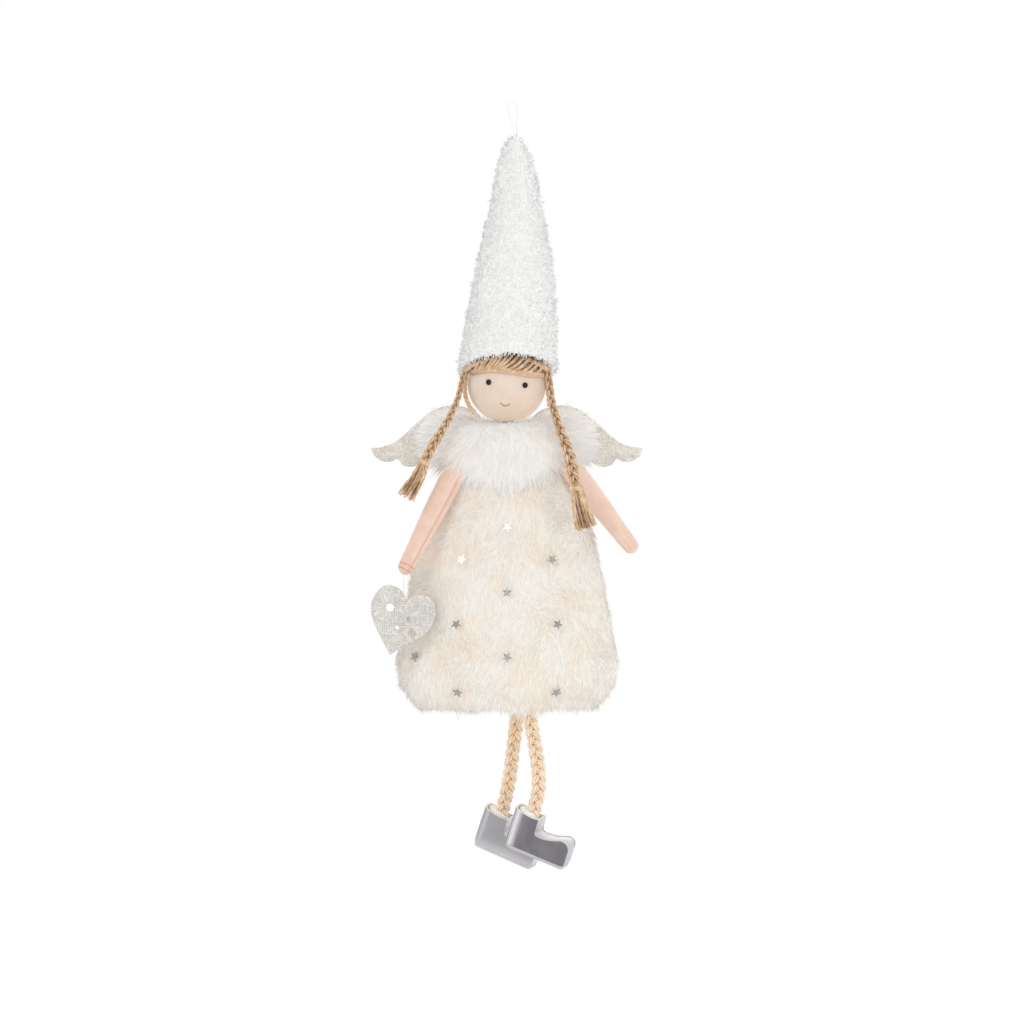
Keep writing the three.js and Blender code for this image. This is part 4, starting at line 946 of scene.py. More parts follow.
def head_ball():
    """The stuffed head, its bead eyes and stitched smile."""
    bm = bmesh.new()
    bmesh.ops.create_uvsphere(bm, u_segments=48, v_segments=32, radius=HEAD_RADIUS * MM)
    for vert in bm.verts:
        low = share_of((-vert.co.z / MM - 11.5) / 4.4)
        vert.co.xy *= 1 - 0.12 * low * low
    bmesh.ops.translate(bm, vec=spot(HEAD), verts=bm.verts)
    ball = made("head_ball", bm, SKIN_KNIT)
    downs = [HEAD[2] - vert.co.z / MM for vert in ball.data.vertices]
    # Painted shade: the knit darker and warmer towards the chin.
    marked(ball.data, "seam_and_shade", [0.3 * share_of((down - 8.0) / 8.0) for down in downs])
    sewn(ball, "head", "skin_fabric", "head_skin", "head_filling")
    for side, label in ((-1, "left"), (1, "right")):
        face = face_point(side * EYE_ACROSS, EYE_UP, FACE_TILT)
        away = Vector(face - HEAD).normalized()
        bm = bmesh.new()
        bmesh.ops.create_uvsphere(bm, u_segments=24, v_segments=14, radius=EYE_RADIUS * MM)
        bmesh.ops.scale(bm, vec=(1, 1, 0.55), verts=bm.verts)
        turn = Vector((0, 0, 1)).rotation_difference(away).to_matrix().to_4x4()
        place = Matrix.Translation(spot(face) + away * 0.3 * MM) @ turn
        bmesh.ops.transform(bm, matrix=place, verts=bm.verts)
        sewn(made(f"{label}_eye_bead", bm, EYE_BEAD), "head", "eye_bead", f"{label}_eye")
    smile = []
    for share in np.linspace(-1, 1, 14):
        point = face_point(share * MOUTH_HALF_WIDTH, MOUTH_UP - MOUTH_BOW * (0.5 - share ** 2), FACE_TILT)
        smile.append(HEAD + (point - HEAD) * (1 + 0.12 / HEAD_RADIUS))
    stitch = strands("smile_stitch", [np.array(smile)], 0.24, MOUTH_THREAD, 1, (0.4, 0.4))
    sewn(stitch, "head", "mouth_thread", "mouth_stitch")


def face_point(across, up, tilt=0.0, radius=HEAD_RADIUS):
    """A point on the front of the head, from its middle and on a tilted face."""
    x = across * math.cos(tilt) - up * math.sin(tilt)
    z = across * math.sin(tilt) + up * math.cos(tilt)
    return HEAD + np.array((x, -math.sqrt(max(radius ** 2 - x ** 2 - z ** 2, 0.0)), z))


def hair_fringe():
    """Yarn swept over the forehead, a band of it along the brow, and a dark layer of yarn behind it: painted
    shade between the strands.
    """
    rng = np.random.default_rng(21)
    swept, under = [], []
    u = np.linspace(0, 1, 20)
    for k in range(14):
        x0 = -10.5 + 2.0 * k + rng.normal() * 0.2
        z0 = 13.4 - 0.022 * x0 * x0
        x1 = x0 + np.interp(x0, [-10, -4, 4, 10, 15], [-3.6, -7.5, -9.5, -8.5, -5.0])
        z1 = np.interp(x1, FRINGE_EDGE_X, FRINGE_EDGE_Z) + 0.7
        bend = (x0 + 0.3 * (x1 - x0), z1 + 1.6)
        xs = (1 - u) ** 2 * x0 + 2 * u * (1 - u) * bend[0] + u ** 2 * x1
        zs = (1 - u) ** 2 * z0 + 2 * u * (1 - u) * bend[1] + u ** 2 * z1
        lift = 1.35 - 0.7 * u
        swept.append(np.array([face_point(x, z, 0, HEAD_RADIUS + up) for x, z, up in zip(xs, zs, lift)]))
        for shift in (0.0, 1.0):
            behind = [face_point(x + shift, z + 0.5, 0, HEAD_RADIUS + 0.2) for x, z in zip(xs, zs)]
            under.append(np.array(behind))
    for k in range(3):
        xs = np.linspace(15.8, -14.9, 44)
        zs = np.interp(xs, FRINGE_EDGE_X, FRINGE_EDGE_Z) + 0.45 + 0.5 * k + 0.15 * np.sin(0.5 * xs + 2 * k)
        swept.append(np.array([face_point(x, z, 0, HEAD_RADIUS + 0.75 - 0.05 * k) for x, z in zip(xs, zs)]))
    yarns = []
    for route in swept:
        yarns += twisted(route, 3, 0.31, 5.5, rng.uniform(0, 6))
    fringe = strands("hair_fringe_yarn", yarns, 0.35, HAIR_YARN, 2, (0.8, 0.5))
    mark_groove_shade(fringe, swept, [0.58] * len(swept), 0.5, 0.9)
    sewn(fringe, "head", "hair_yarn", "hair_fringe")
    sewn(strands("hair_fringe_painted_shade", under, 0.5, HAIR_PAINTED_SHADE), "head", "hair_yarn")
    stray = np.array([(-16.4, -5.4, 2.4), (-16.8, -4.6, -1.6), (-16.4, -4.6, -6), (-14.6, -5.4, -10),
                      (-12.6, -6.4, -11.8)]) + HEAD
    route, _ = smooth_route(stray, 40)
    cheek = strands("stray_cheek_yarn", twisted(route, 3, 0.5, 6.0), 0.46, HAIR_YARN, 2, (1, 0.8))
    sewn(cheek, "head", "hair_yarn", "stray_yarn")
    gathered_yarns = []
    for mirror, braid in ((-1, "left"), (1, "right")):
        end = np.array(BRAIDS[braid]["route"][0])
        for k, turn in enumerate(np.radians(np.linspace(-66, 40, 9))):
            high = np.array((mirror * math.cos(turn), math.sin(turn), 0)) * 13.6 + (0, 0, 9.6)
            mid = unit(high * 0.55 + end * 0.45) * (HEAD_RADIUS + 1.1)
            line = np.array([high, mid, end * (0.985, 1, 1) + (0, 0, 0.3 * (k % 3))]) + HEAD
            route, _ = smooth_route(line, 16)
            gathered_yarns += twisted(route, 2, 0.3, 6.0, 1.1 * k)
    sewn(strands("gathered_side_yarn", gathered_yarns, 0.38, HAIR_YARN), "head", "hair_yarn")
    side = []
    for k in range(4):
        lock = np.array([(14.6, -5.8, 5.0), (16.0, -4.4, 0.0), (16.6, -4.2, -5.0), (16.9, -5.4, -9.5)])
        lock = lock + HEAD + (0.35 * k - 0.4, 0.5 * (k % 2) - 0.5, 0.4 * k)
        route, _ = smooth_route(lock, 30)
        side += twisted(route, 2, 0.26, 5.0, 1.7 * k)
    sewn(strands("side_hair_yarn", side, 0.36, HAIR_YARN, 1, (1, 0.6)), "head", "hair_yarn")


def yarn_braids():
    """Two plaits of yarn, each with a wound tie and a loose tassel."""
    for side, size in BRAIDS.items():
        rng = np.random.default_rng(31 if side == "left" else 32)
        route, _ = smooth_route(np.array(size["route"]) + HEAD, 150)
        radii = size["radii"]
        radius = np.interp(np.linspace(0, 1, len(route)), np.linspace(0, 1, len(radii)), radii)
        routes = []
        middles = plaited(route, 0.58 * radius, 0.36 * radius, size["pitch"])
        for k, strand in enumerate(middles):
            routes += twisted(strand, 4, 0.25 * radius, 10.0, 2.1 * k)
        plait = strands(f"{side}_braid_yarn", routes, 0.2, HAIR_YARN, 2, swell=radius)
        mark_groove_shade(plait, middles, [0.47 * radius] * 3, 0.55, 0.9)
        mark_groove_shade(plait, [route], [radius], 0.35, 0.75)
        sewn(plait, f"{side}_braid", "hair_yarn", f"{side}_braid")
        tail = np.array(size["tail"]) + HEAD
        join = np.array(size["route"][-1]) + HEAD
        on = unit(tail[0] - np.array(size["route"][-1]) - HEAD)
        middle = (join + tail[0]) / 2
        across = unit(np.cross(on, (0.0, -1.0, 0.0)))
        facing = np.cross(across, on)
        turn = np.linspace(0, 4.5 * math.tau, 110)
        wrap_radius = radii[-1] - 0.05
        coil = middle + wrap_radius * (np.cos(turn)[:, None] * across + np.sin(turn)[:, None] * facing)
        coil += ((turn / turn[-1] - 0.5) * 1.5 + 0.4 * np.sin(turn))[:, None] * on
        wrap = strands(f"{side}_braid_wrap", [coil], 0.22, HAIR_YARN)
        sewn(wrap, f"{side}_braid", "hair_yarn", f"{side}_braid_tie")
        end_route, _ = smooth_route(np.vstack([join, tail]), 30)
        _, cross, face = sides_of(end_route)
        yarns = []
        for k in range(size["yarns"]):
            angle, far = rng.uniform(0, math.tau), math.sqrt((k + 0.5) / size["yarns"])
            share = np.linspace(0, 1, len(end_route))
            spread = far * (size["gather"] + (size["flare"] - size["gather"]) * share ** 0.8)
            wave = 0.35 * np.sin(share * rng.uniform(4, 8) + rng.uniform(0, 6))
            line = end_route + ((spread + wave) * math.cos(angle))[:, None] * cross
            line += (0.62 * spread * math.sin(angle))[:, None] * face
            run = unit(line[-1] - line[-4])
            line = np.vstack([line, line[-1] + run * rng.uniform(0.6, 1.0) * size["reach"]])
            yarns += twisted(line, 2, 0.2, 6.0, rng.uniform(0, 6))
        tassel = strands(f"{side}_braid_tassel", yarns, 0.25, HAIR_YARN, 1, (1, 0.8))
        spread = 0.8 + (size["flare"] - 0.8) * np.linspace(0, 1, len(end_route))
        mark_groove_shade(tassel, [end_route], [spread], 0.3, 1.0)
        sewn(tassel, f"{side}_braid", "hair_yarn", f"{side}_braid_end")


def dress_width(z):
    """Half the dress's width at a height."""
    drops, widths = np.array(DRESS_SHAPE).T
    fine = np.linspace(0, 1, 201)
    wide = np.interp(fine, drops, widths)
    wide = np.convolve(np.pad(wide, 5, mode="edge"), np.ones(11) / 11, "valid")
    return DRESS_HALF_WIDTH * np.interp((DRESS_TOP - np.asarray(z)) / DRESS_LENGTH, fine, wide)


def star_seats():
    """Where the stars lie: the place on the plush and the way out of it."""
    seats = []
    for k in range(1, 11):
        low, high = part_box(f"star_{k:02d}")
        middle = np.array((low + high) / 2) / MM
        wide = float(dress_width(middle[2]))
        slope = float(dress_width(middle[2] - 1) - dress_width(middle[2] + 1)) / 2
        x, y = (middle[0] - HEAD[0]) / wide, middle[1] / (wide * DRESS_DEPTH)
        away = unit(np.array((x / wide, y / (wide * DRESS_DEPTH), slope / wide * (x * x + y * y))))
        seats.append((middle, away))
    return seats


STAR_SEATS = star_seats()


def plush_dress():
    """The stuffed dress: a soft body, tufted plush all over and a fringe of pile at the hem."""
    drops = np.concatenate([np.linspace(0.0, 0.9, 34), np.linspace(0.915, 1.0, 12)])
    heights = DRESS_TOP - DRESS_LENGTH * drops
    heights = np.maximum(heights, DRESS_TOP - DRESS_LENGTH + 0.8)
    profile = [(0, DRESS_TOP - 0.2)] + [(max(float(dress_width(z)) - DRESS_INSET, 3.0), z) for z in heights]
    profile += [(0, heights[-1])]
    bm = turned(profile, 120)
    for vert in bm.verts:
        away = math.hypot(vert.co.x, vert.co.y)
        if away > 2 * MM:
            vert.co.xy *= 1 + 0.9 * MM / away * noise.noise(vert.co / MM / 13.0)
    ratio = (DRESS_HALF_WIDTH * DRESS_DEPTH - DRESS_INSET) / (DRESS_HALF_WIDTH - DRESS_INSET)
    bmesh.ops.scale(bm, vec=(1, ratio, 1), verts=bm.verts)
    bmesh.ops.translate(bm, vec=(HEAD[0] * MM, 0, 0), verts=bm.verts)
    body = made("dress_body", bm, DRESS_PLUSH)
    sewn(body, "torso", "dress_plush", "dress_front", "dress_back", "dress_base", "body_filling")
    floor = DRESS_TOP - DRESS_LENGTH + 1.2

    def seen(front):
        def keep(spots, outs):
            side = spots[:, 1] < 0 if front else spots[:, 1] >= 0
            high = spots[:, 2] < DRESS_TOP - 3
            under = (spots[:, 2] < floor) & (outs[:, 2] < -0.9)
            clear = np.ones(len(spots), bool)
            for middle, _ in STAR_SEATS:
                gap = spots - middle
                clear &= ~((np.hypot(gap[:, 0], gap[:, 1]) < 2.0) & (gap[:, 2] > -1.2) & (gap[:, 2] < 3.4))
            return side & high & clear & ~under
        return keep

    for k, label in enumerate(("front_under", "front_over", "back_under", "back_over")):
        over = label.endswith("over")
        roots, outs = scattered(body, PLUSH_LOCKS, 41 + k, seen(label.startswith("front")))
        middles = gathered(roots, 4.2, 141 + k)
        rng = np.random.default_rng(241 + k)
        down = np.array((0, 0, -1.0)) + rng.normal(size=roots.shape) * 0.2
        down -= (down * outs).sum(1, keepdims=True) * outs
        comb = 0.7 * down + 0.9 * swirl(roots, outs, 16.0, 5) + 0.05 * (middles - roots)
        hem = np.clip((HEM_START - roots[:, 2]) / 12, 0, 1)
        comb += hem[:, None] * np.array((0, 0, -0.3))
        lift = rng.uniform(0.3, 0.8, len(roots)) if over else 0.35
        length, width = (5.2, 0.26) if over else (4.6, 0.4)
        tufts = locks(f"dress_plush_{label}", roots, outs, comb, length + hem, width, DRESS_PLUSH, 341 + k,
                      lift, 0.1, PLUSH_LEVELS, 0.6 * outs + PLUSH_LEAN)
        sewn(tufts, "torso", "dress_plush")
    rng = np.random.default_rng(49)
    turn = rng.uniform(0, math.tau, HEM_LOCKS)
    share = np.sqrt(rng.uniform(0.0, 1.0, HEM_LOCKS))
    inner = np.arange(HEM_LOCKS) < HEM_LOCKS // 2
    wide = (float(dress_width(floor)) - DRESS_INSET) * np.where(inner, share, 0.9 + 0.1 * share)
    low = np.full(HEM_LOCKS, floor - 0.4)
    roots = np.stack([HEAD[0] + wide * np.cos(turn), ratio * wide * np.sin(turn), low], 1)
    away = np.stack([np.cos(turn), np.sin(turn), np.zeros(HEM_LOCKS)], 1)
    outs = unit(away + (0, 0, -0.35))
    comb = np.array((0, 0, -0.8)) + rng.normal(size=roots.shape) * 0.2
    middle = np.exp(-((roots[:, 0] - 4.0) / 7.0) ** 2) * (roots[:, 1] < -6)
    hem = locks("dress_hem_pile", roots, outs, comb, 4.6 + 3.6 * middle, 0.36, DRESS_PLUSH, 50, 0.35, 0.08,
                PLUSH_LEVELS, PLUSH_LEAN)
    sewn(hem, "torso", "dress_plush")


def foil_stars():
    """Pressed foil stars that lie on the plush."""
    rng = np.random.default_rng(61)
    for k, (middle, away) in enumerate(STAR_SEATS):
        bm = bmesh.new()
        bmesh.ops.create_circle(bm, cap_ends=True, segments=10, radius=STAR_RADIUS * MM)
        for j, vert in enumerate(sorted(bm.verts, key=lambda v: math.atan2(v.co.y, v.co.x))):
            if j % 2:
                vert.co *= STAR_NOTCH
        top = raised(bm, bm.faces[:], (0, 0, STAR_THICKNESS * MM))
        bmesh.ops.poke(bm, faces=top, offset=(0.06 if k in STAR_GLINTS else 0.35) * MM)
        outward(bm)
        tilt = Matrix.Rotation(rng.uniform(-0.3, 0.3), 4, "Z") @ Matrix.Rotation(math.radians(18), 4, "Z")
        facing = Vector(unit(away + 0.1 * rng.normal(size=3)))
        if k in STAR_GLINTS:
            facing = Vector(STAR_GLINTS[k]).normalized()
        turn = facing.to_track_quat("Z", "Y").to_matrix().to_4x4()
        place = Matrix.Translation(spot(middle + (0.2 if k == 0 else 1.6) * away)) @ turn @ tilt
        bmesh.ops.transform(bm, matrix=place, verts=bm.verts)
        # The stars that lie towards a lamp take the paler foil, a painted glint.
        star = made(f"foil_star_{k + 1:02d}", bm, GLINT_FOIL if k in STAR_GLINTS else STAR_FOIL)
        shaded(star.data, False)
        sewn(star, "torso", "star_foil", f"star_{k + 1:02d}")


def fur_collar():
    """A ring of long combed fur, deeper at the front, over a soft pad."""
    bm = bmesh.new()
    ring = bmesh.ops.create_circle(bm, segments=16, radius=0.5)["verts"]
    bmesh.ops.rotate(bm, cent=(0, 0, 0), matrix=Matrix.Rotation(math.radians(90), 3, "X"), verts=ring)
    bmesh.ops.translate(bm, vec=(1, 0, 0), verts=ring)
    bm = spun_round(bm, 64)
    for vert in bm.verts:
        x, y, z = vert.co
        turn, away = math.atan2(y, x), math.hypot(x, y) - 0.5
        front, back = max(0.0, -math.sin(turn)) ** 2.2, max(0.0, math.sin(turn)) ** 1.5
        tall = 9 + 9 * front + 5 * back
        wide, deep = 7.5 + 18 * away, 7.5 + 9.5 * away
        height = COLLAR_TOP - tall * (0.5 - z)
        vert.co = spot((HEAD[0] + wide * math.cos(turn), deep * math.sin(turn), height))
    outward(bm)
    pad = made("collar_pad", bm, COLLAR_FUR)
    sewn(pad, "torso", "collar_fur", "fur_collar")
    lets_light_through(pad)

    def outer(spots, outs):
        away = np.stack([spots[:, 0] - HEAD[0], spots[:, 1], np.zeros(len(spots))], 1)
        return ((outs * unit(away)).sum(1) > -0.35) | (outs[:, 2] > 0.5)

    for k, (label, (count, start)) in enumerate(COLLAR_LOCKS.items()):
        roots, outs = scattered(pad, count, 71 + k, outer)
        rng = np.random.default_rng(73 + k)
        away = unit(np.stack([roots[:, 0] - HEAD[0], roots[:, 1] * 1.5, np.zeros(len(roots))], 1))
        front = np.clip(-away[:, 1], 0, 1)
        top = np.clip((roots[:, 2] + 135.0) / 5.0, 0, 1)
        rise = 0.3 * top * (1 - front) - 0.75 * (0.55 + 0.6 * front) * (1 - 0.75 * top)
        comb = 0.6 * away + np.array((0, 0, 1.0)) * rise[:, None]
        comb += rng.normal(size=roots.shape) * 0.16 + 0.35 * swirl(roots, outs, 12.0, 8)
        middles = gathered(roots, 5.0, 75 + k)
        comb += 0.03 * (middles - roots)
        length = start + (2.5 * front ** 4 + 4.0 * away[:, 0] ** 2) * (1 - top) - 2.4 * top
        lift = rng.uniform(0.25, 0.6, len(roots)) * (1 - 0.4 * front * top)
        outs = unit(outs * (1, 1, 0.35) + (0, 0, 0.12))
        fur = locks(f"collar_fur_{label}", roots, outs, comb, length, 0.3, COLLAR_FUR, 77 + k, lift, 0.05,
                    FUR_LEVELS, FUR_LEAN)
        sewn(fur, "torso", "collar_fur")


def stuffed_arms():
    """Two stuffed arms with a sewn seam, its line darker partly as painted shade, and a pinched, stitched
    hand end.
    """
    for side, (shoulder, hand) in ARMS.items():
        shoulder, hand = np.array(shoulder), np.array(hand)
        length = float(np.linalg.norm(hand - shoulder))
        profile = [(ARM_RADII[0] * math.sin(a), -ARM_RADII[0] * math.cos(a)) for a in np.linspace(0, 1.45, 7)]
        for share in np.linspace(0.02, 0.98, 26):
            profile.append((float(np.interp(share, np.linspace(0, 1, 6), ARM_RADII)), share * length))
        end = ARM_RADII[-1]
        profile += [(end * math.sin(a), length + end * math.cos(a)) for a in np.linspace(1.45, 0, 7)]
        bm = turned(profile, 40)
        seam_at = math.radians(ARM_SEAMS[side])
        seam_and_shade = []
        for vert in bm.verts:
            turn = math.atan2(vert.co.y, vert.co.x)
            gap = (turn - seam_at + math.pi) % math.tau - math.pi
            share = vert.co.z / MM / length
            pucker = 0.12 * math.sin(9 * turn + 3 * share) * bell(share, 0.97, 0.12)
            crease = 0.1 * math.sin(34 * share + 2.0 * math.sin(turn)) * bell(share, 0.1, 0.16)
            pull = 1 - 0.1 * bell(gap, 0, 0.13) + pucker + crease * 0.6
            vert.co.x *= pull
            vert.co.y *= pull * (0.88 - 0.28 * max(0.0, share - 0.75))
            # The seam's line painted darker: partly the seam itself, partly painted shade in its crease.
            seam_and_shade.append(0.75 * bell(gap, 0, 0.09))
        on = Vector(hand - shoulder).normalized()
        front = Vector((0, -1, 0))
        front = (front - on * front.dot(on)).normalized()
        across = front.cross(on)
        turn = Matrix((across, -front, on)).transposed().to_4x4()
        if turn.to_3x3().determinant() < 0:
            turn = Matrix((-across, -front, on)).transposed().to_4x4()
        place = Matrix.Translation(spot(shoulder)) @ turn
        bmesh.ops.transform(bm, matrix=place, verts=bm.verts)
        limb = made(f"{side}_arm_skin", bm, ARM_KNIT)
        marked(limb.data, "seam_and_shade", seam_and_shade)
        subdivided(limb, 1)
        settled(limb)
        sewn(limb, f"{side}_arm", "arm_fabric", f"{side}_arm", f"{side}_arm_filling")
        stitches = []
        for row, (along, wide) in enumerate(((length + 0.4 * end, 0.94), (length - 0.9, 1.06))):
            for k in range(9):
                bow = np.radians(np.linspace(-12, 12, 5) + HAND_STITCHES[side] + 20 * k + 7 * row)
                broad, deep = 1.02 * end * wide, 0.84 * end * wide
                thread = [(broad * math.cos(a), deep * math.sin(a), along) for a in bow]
                stitches.append(np.array([place @ spot(point) for point in thread]) / MM)
        sewing = strands(f"{side}_hand_stitches", stitches, 0.13, SEAM_THREAD, 1, (0.5, 0.5))
        sewn(sewing, f"{side}_arm", "arm_fabric")


def bezier_half(mirror):
    """The heart's edge from cleft to point, on the right or mirrored to the left."""
    half, tall, at, out = HEART_HALF_WIDTH * mirror, HEART_TALL, (0.0, 0.0), []
    for ax, az, bx, bz, x, z in HEART_CURVES:
        for u in np.linspace(0, 1, 12, endpoint=False):
            v = 1 - u
            first, second = 3 * v * v * u, 3 * v * u * u
            out.append((v ** 3 * at[0] + first * ax * half + second * bx * half + u ** 3 * x * half,
                        v ** 3 * at[1] + first * az * tall + second * bz * tall + u ** 3 * z * tall))
        at = (x * half, z * tall)
    return out + [at]


def heart_charm():
    """Two glitter faces on a foam core, with round cut-outs."""
    edge = bezier_half(1) + bezier_half(-1)[-2:0:-1]
    turns = np.linspace(0, math.tau, 24, endpoint=False)
    holes = [[(x + r * math.cos(a), z + r * math.sin(a)) for a in turns] for x, z, r in HEART_HOLES]
    place = heart_place()
    for label, y in (("front", -1.05), ("back", 1.05)):
        side = place @ Matrix.Translation((0, y * MM, 0))
        face = flat_piece(f"heart_{label}_board", [edge, *holes], 0.8, 0.25, side, HEART_BOARD)
        sewn(face, "heart", "heart_glitter", f"heart_{label}")
        spots, outs = scattered(face, HEART_FLAKES, 81 if y < 0 else 82)
        grains = flakes(f"heart_{label}_flakes", spots, outs, 0.2, 0.3, HEART_FLAKE, 83 if y < 0 else 84)
        sewn(grains, "heart", "heart_glitter")
    inner = [(x * 0.97, z * 0.97) for x, z in edge]
    core = flat_piece("heart_foam", [inner, *holes], 1.2, 0.2, place, WHITE_FELT)
    sewn(core, "heart", "white_felt", "heart_core")


def outline_of(top, bottom, mirror):
    """A smooth outline along a top and a bottom edge, on the right or mirrored to the left."""
    up, _ = smooth_route([(x, 0, z) for x, z in top], 40)
    low, _ = smooth_route([(x, 0, z) for x, z in bottom], 60)
    return [(mirror * x, z) for x, _, z in np.vstack([up, low])]


def glitter_wings():
    """Wings of glitter cloth with a pad of combed fur at each root, on a felt patch."""
    for side, mirror in (("left", -1), ("right", 1)):
        place = Matrix.Translation(spot(WING_MIDDLE))
        outline = outline_of(WING_TOP, WING_BOTTOM, mirror)
        cloth = flat_piece(f"{side}_wing_cloth", [outline], 1.4, 0.5, place, WING_CLOTH)
        sewn(cloth, f"{side}_wing", "wing_glitter", f"{side}_wing")
        spots, outs = scattered(cloth, WING_FLAKES, 91 + mirror)
        grains = flakes(f"{side}_wing_flakes", spots, outs, 0.23, 0.28, WING_FLAKE, 93 + mirror)
        sewn(grains, f"{side}_wing", "wing_glitter")
        outline = outline_of(WING_FUR_TOP, WING_FUR_BOTTOM, mirror)
        lining = flat_piece(f"{side}_wing_pad", [outline], 1.6, 0.5,
                            place @ Matrix.Translation((0, -1.6 * MM, 0)), LIT_WING_FUR)
        sewn(lining, f"{side}_wing", "collar_fur", f"{side}_wing_fur")
        roots, outs = scattered(lining, WING_LOCKS, 96 + mirror, lambda spots, outs: outs[:, 1] < 0.3)
        rng = np.random.default_rng(98 + mirror)
        thin = np.clip((np.abs(roots[:, 0] - WING_MIDDLE[0]) - 22) / 11, 0, 1)
        kept = rng.random(len(roots)) > 0.8 * thin
        roots, outs = roots[kept], unit(outs[kept] * (0.4, 1, 0.4) + (0, -0.4, 0.2))
        start = np.array(WING_MIDDLE) + (mirror * 4, 0, -4)
        away = roots - start
        away[:, 1] = 0
        comb = unit(away) * (0.85, 1.0, 0.3) + rng.normal(size=roots.shape) * 0.14
        far = np.clip((np.abs(roots[:, 0] - WING_MIDDLE[0]) - 20) / 14, 0, 1)
        fur = locks(f"{side}_wing_fur_locks", roots, outs, comb, 7.0 - 2.0 * far, 0.28, LIT_WING_FUR, 99 + mirror,
                    0.45, 0.05, FUR_LEVELS, FUR_LEAN)
        sewn(fur, f"{side}_wing", "collar_fur")
    bm = bmesh.new()
    bmesh.ops.create_cube(bm, size=1.0)
    bmesh.ops.scale(bm, vec=spot(WING_PATCH_SIZE), verts=bm.verts)
    bmesh.ops.bevel(bm, geom=bm.edges[:], offset=0.5 * MM, offset_type="OFFSET", segments=3, profile=0.5,
                    affect="EDGES", material=-1)
    bmesh.ops.translate(bm, vec=spot(WING_PATCH), verts=bm.verts)
    patch = made("wing_felt_patch", bm, WHITE_FELT)
    sewn(patch, "torso", "white_felt", "wing_patch")
    stitches = []
    for x, z, across in [(-4.2, -6.6, 0), (4.2, -6.6, 0), (-3.4, -7.4, 1), (-3.4, 7.4, 1)]:
        for k in range(4 if across else 7):
            along = np.array((across, 0, 1 - across))
            start = np.array((WING_PATCH[0] + x, 24.2, WING_PATCH[2] + z)) + 2.2 * k * along
            run = 1.2 * along
            stitches.append(np.array([start, start + 0.5 * run + (0, 0.22, 0), start + run]))
    sewn(strands("wing_patch_stitches", stitches, 0.16, WHITE_THREAD), "torso", "white_thread")


def boot_outline():
    """The boot's side: heel at the origin, toe towards +X, the sole's underside on the axis, a dipped top."""
    floor, toe, instep, shaft = BOOT_FLOOR, BOOT_TOE, BOOT_INSTEP, BOOT_SHAFT

    def bow(start, bend, end, count=7):
        return [tuple((1 - u) ** 2 * a + 2 * u * (1 - u) * c + u * u * b for a, c, b in zip(start, bend, end))
                for u in np.linspace(0, 1, count)]

    line = [(0, floor)]
    line += bow((BOOT_LENGTH - 0.8, floor), (BOOT_LENGTH, floor), (BOOT_LENGTH, floor + 0.8), 4)
    line += bow((BOOT_LENGTH, toe - 3.4), (BOOT_LENGTH, toe), (BOOT_LENGTH - 3.2, toe), 7)
    line += bow((BOOT_LENGTH - 4, toe - 0.1), (shaft + 6, instep - 0.2), (shaft + 2.0, instep))
    line += bow((shaft + 1.6, instep + 0.1), (shaft, instep), (shaft, instep + 2.0))
    line += bow((shaft - 0.2, BOOT_HEIGHT - 1.4), (shaft * 0.6, BOOT_HEIGHT - 2.2), (0, BOOT_HEIGHT), 8)
    return line


def half_thickness(x, inset=0.0):
    """Half the boot's thickness along its length: round at the heel, nearly square at the toe."""
    half = BOOT_THICKNESS / 2 - inset
    corner, gap = (BOOT_CORNER, x) if x < BOOT_LENGTH / 2 else (1.4, BOOT_LENGTH - x)
    corner -= inset
    gap = min(max(gap - inset, 0.0), corner)
    return half - corner + math.sqrt(max(corner ** 2 - (corner - gap) ** 2, 0.0))


def boot_upper(side, place):
    """Silver side panels, a pale gusset over the instep and toe, and a white lining."""
    bm = bmesh.new()
    face = bm.faces.new([bm.verts.new((x, -0.5, z)) for x, z in boot_outline()])
    raised(bm, [face], (0, 1, 0))
    for x in BOOT_CUTS_ALONG:
        cut(bm, (x, 0, 0), (1, 0, 0), dist=1e-6)
    for z in BOOT_CUTS_UP:
        cut(bm, (0, 0, z), (0, 0, 1), dist=1e-6)
    bmesh.ops.recalc_face_normals(bm, faces=bm.faces)
    gone = [f for f in bm.faces if f.normal.z > 0.6 and f.calc_center_median().z > 14.5]
    bmesh.ops.delete(bm, geom=gone, context="FACES")
    for f in bm.faces:
        f.material_index = 0 if abs(f.normal.y) > 0.5 else 2
    shade = bm.verts.layers.float.new("painted_shade")
    gleam = bm.verts.layers.float.new("gleam")
    for vert in bm.verts:
        x, z = vert.co.x, vert.co.z
        # Painted shade in a band down the front of the shaft and near the toe, a painted highlight down the
        # heel; the left boot is painted lighter all over and lighter still along its sole.
        vert[shade] = max(bell(x, 10.4, 2.6) * min(1.0, z / 6), bell(x, 24.5, 2.2) * 0.7)
        low = 0.3 + 0.35 * bell(z, BOOT_FLOOR, 2.4) if side == "left" else 0.0
        vert[gleam] = max(bell(x, 2.5, 1.5) * (0.6 if side == "left" else 1.0), low)
        puff = 1 + 0.07 * math.sin(math.pi * share_of((z - BOOT_FLOOR) / 13))
        vert.co.y = (1 if vert.co.y > 0 else -1) * half_thickness(x) * puff
        vert.co *= MM
    rim = [e for e in bm.edges if sorted(f.material_index for f in e.link_faces) == [0, 2]]
    bmesh.ops.bevel(bm, geom=rim, offset=0.5 * MM, offset_type="OFFSET", segments=3, profile=0.5,
                    affect="EDGES", material=-1, clamp_overlap=True)
    bmesh.ops.transform(bm, matrix=place, verts=bm.verts)
    outward(bm)
    upper = made(f"{side}_boot_upper", bm, BOOT_SIDE, WHITE_FELT, BOOT_GUSSET, WHITE_FELT)
    wall = walled(upper, 0.55)
    wall.material_offset = 1
    wall.material_offset_rim = 1
    settled(upper)
    upper.data.set_sharp_from_angle(angle=math.radians(38))
    sewn(upper, f"{side}_boot", "boot_leather", f"{side}_boot")


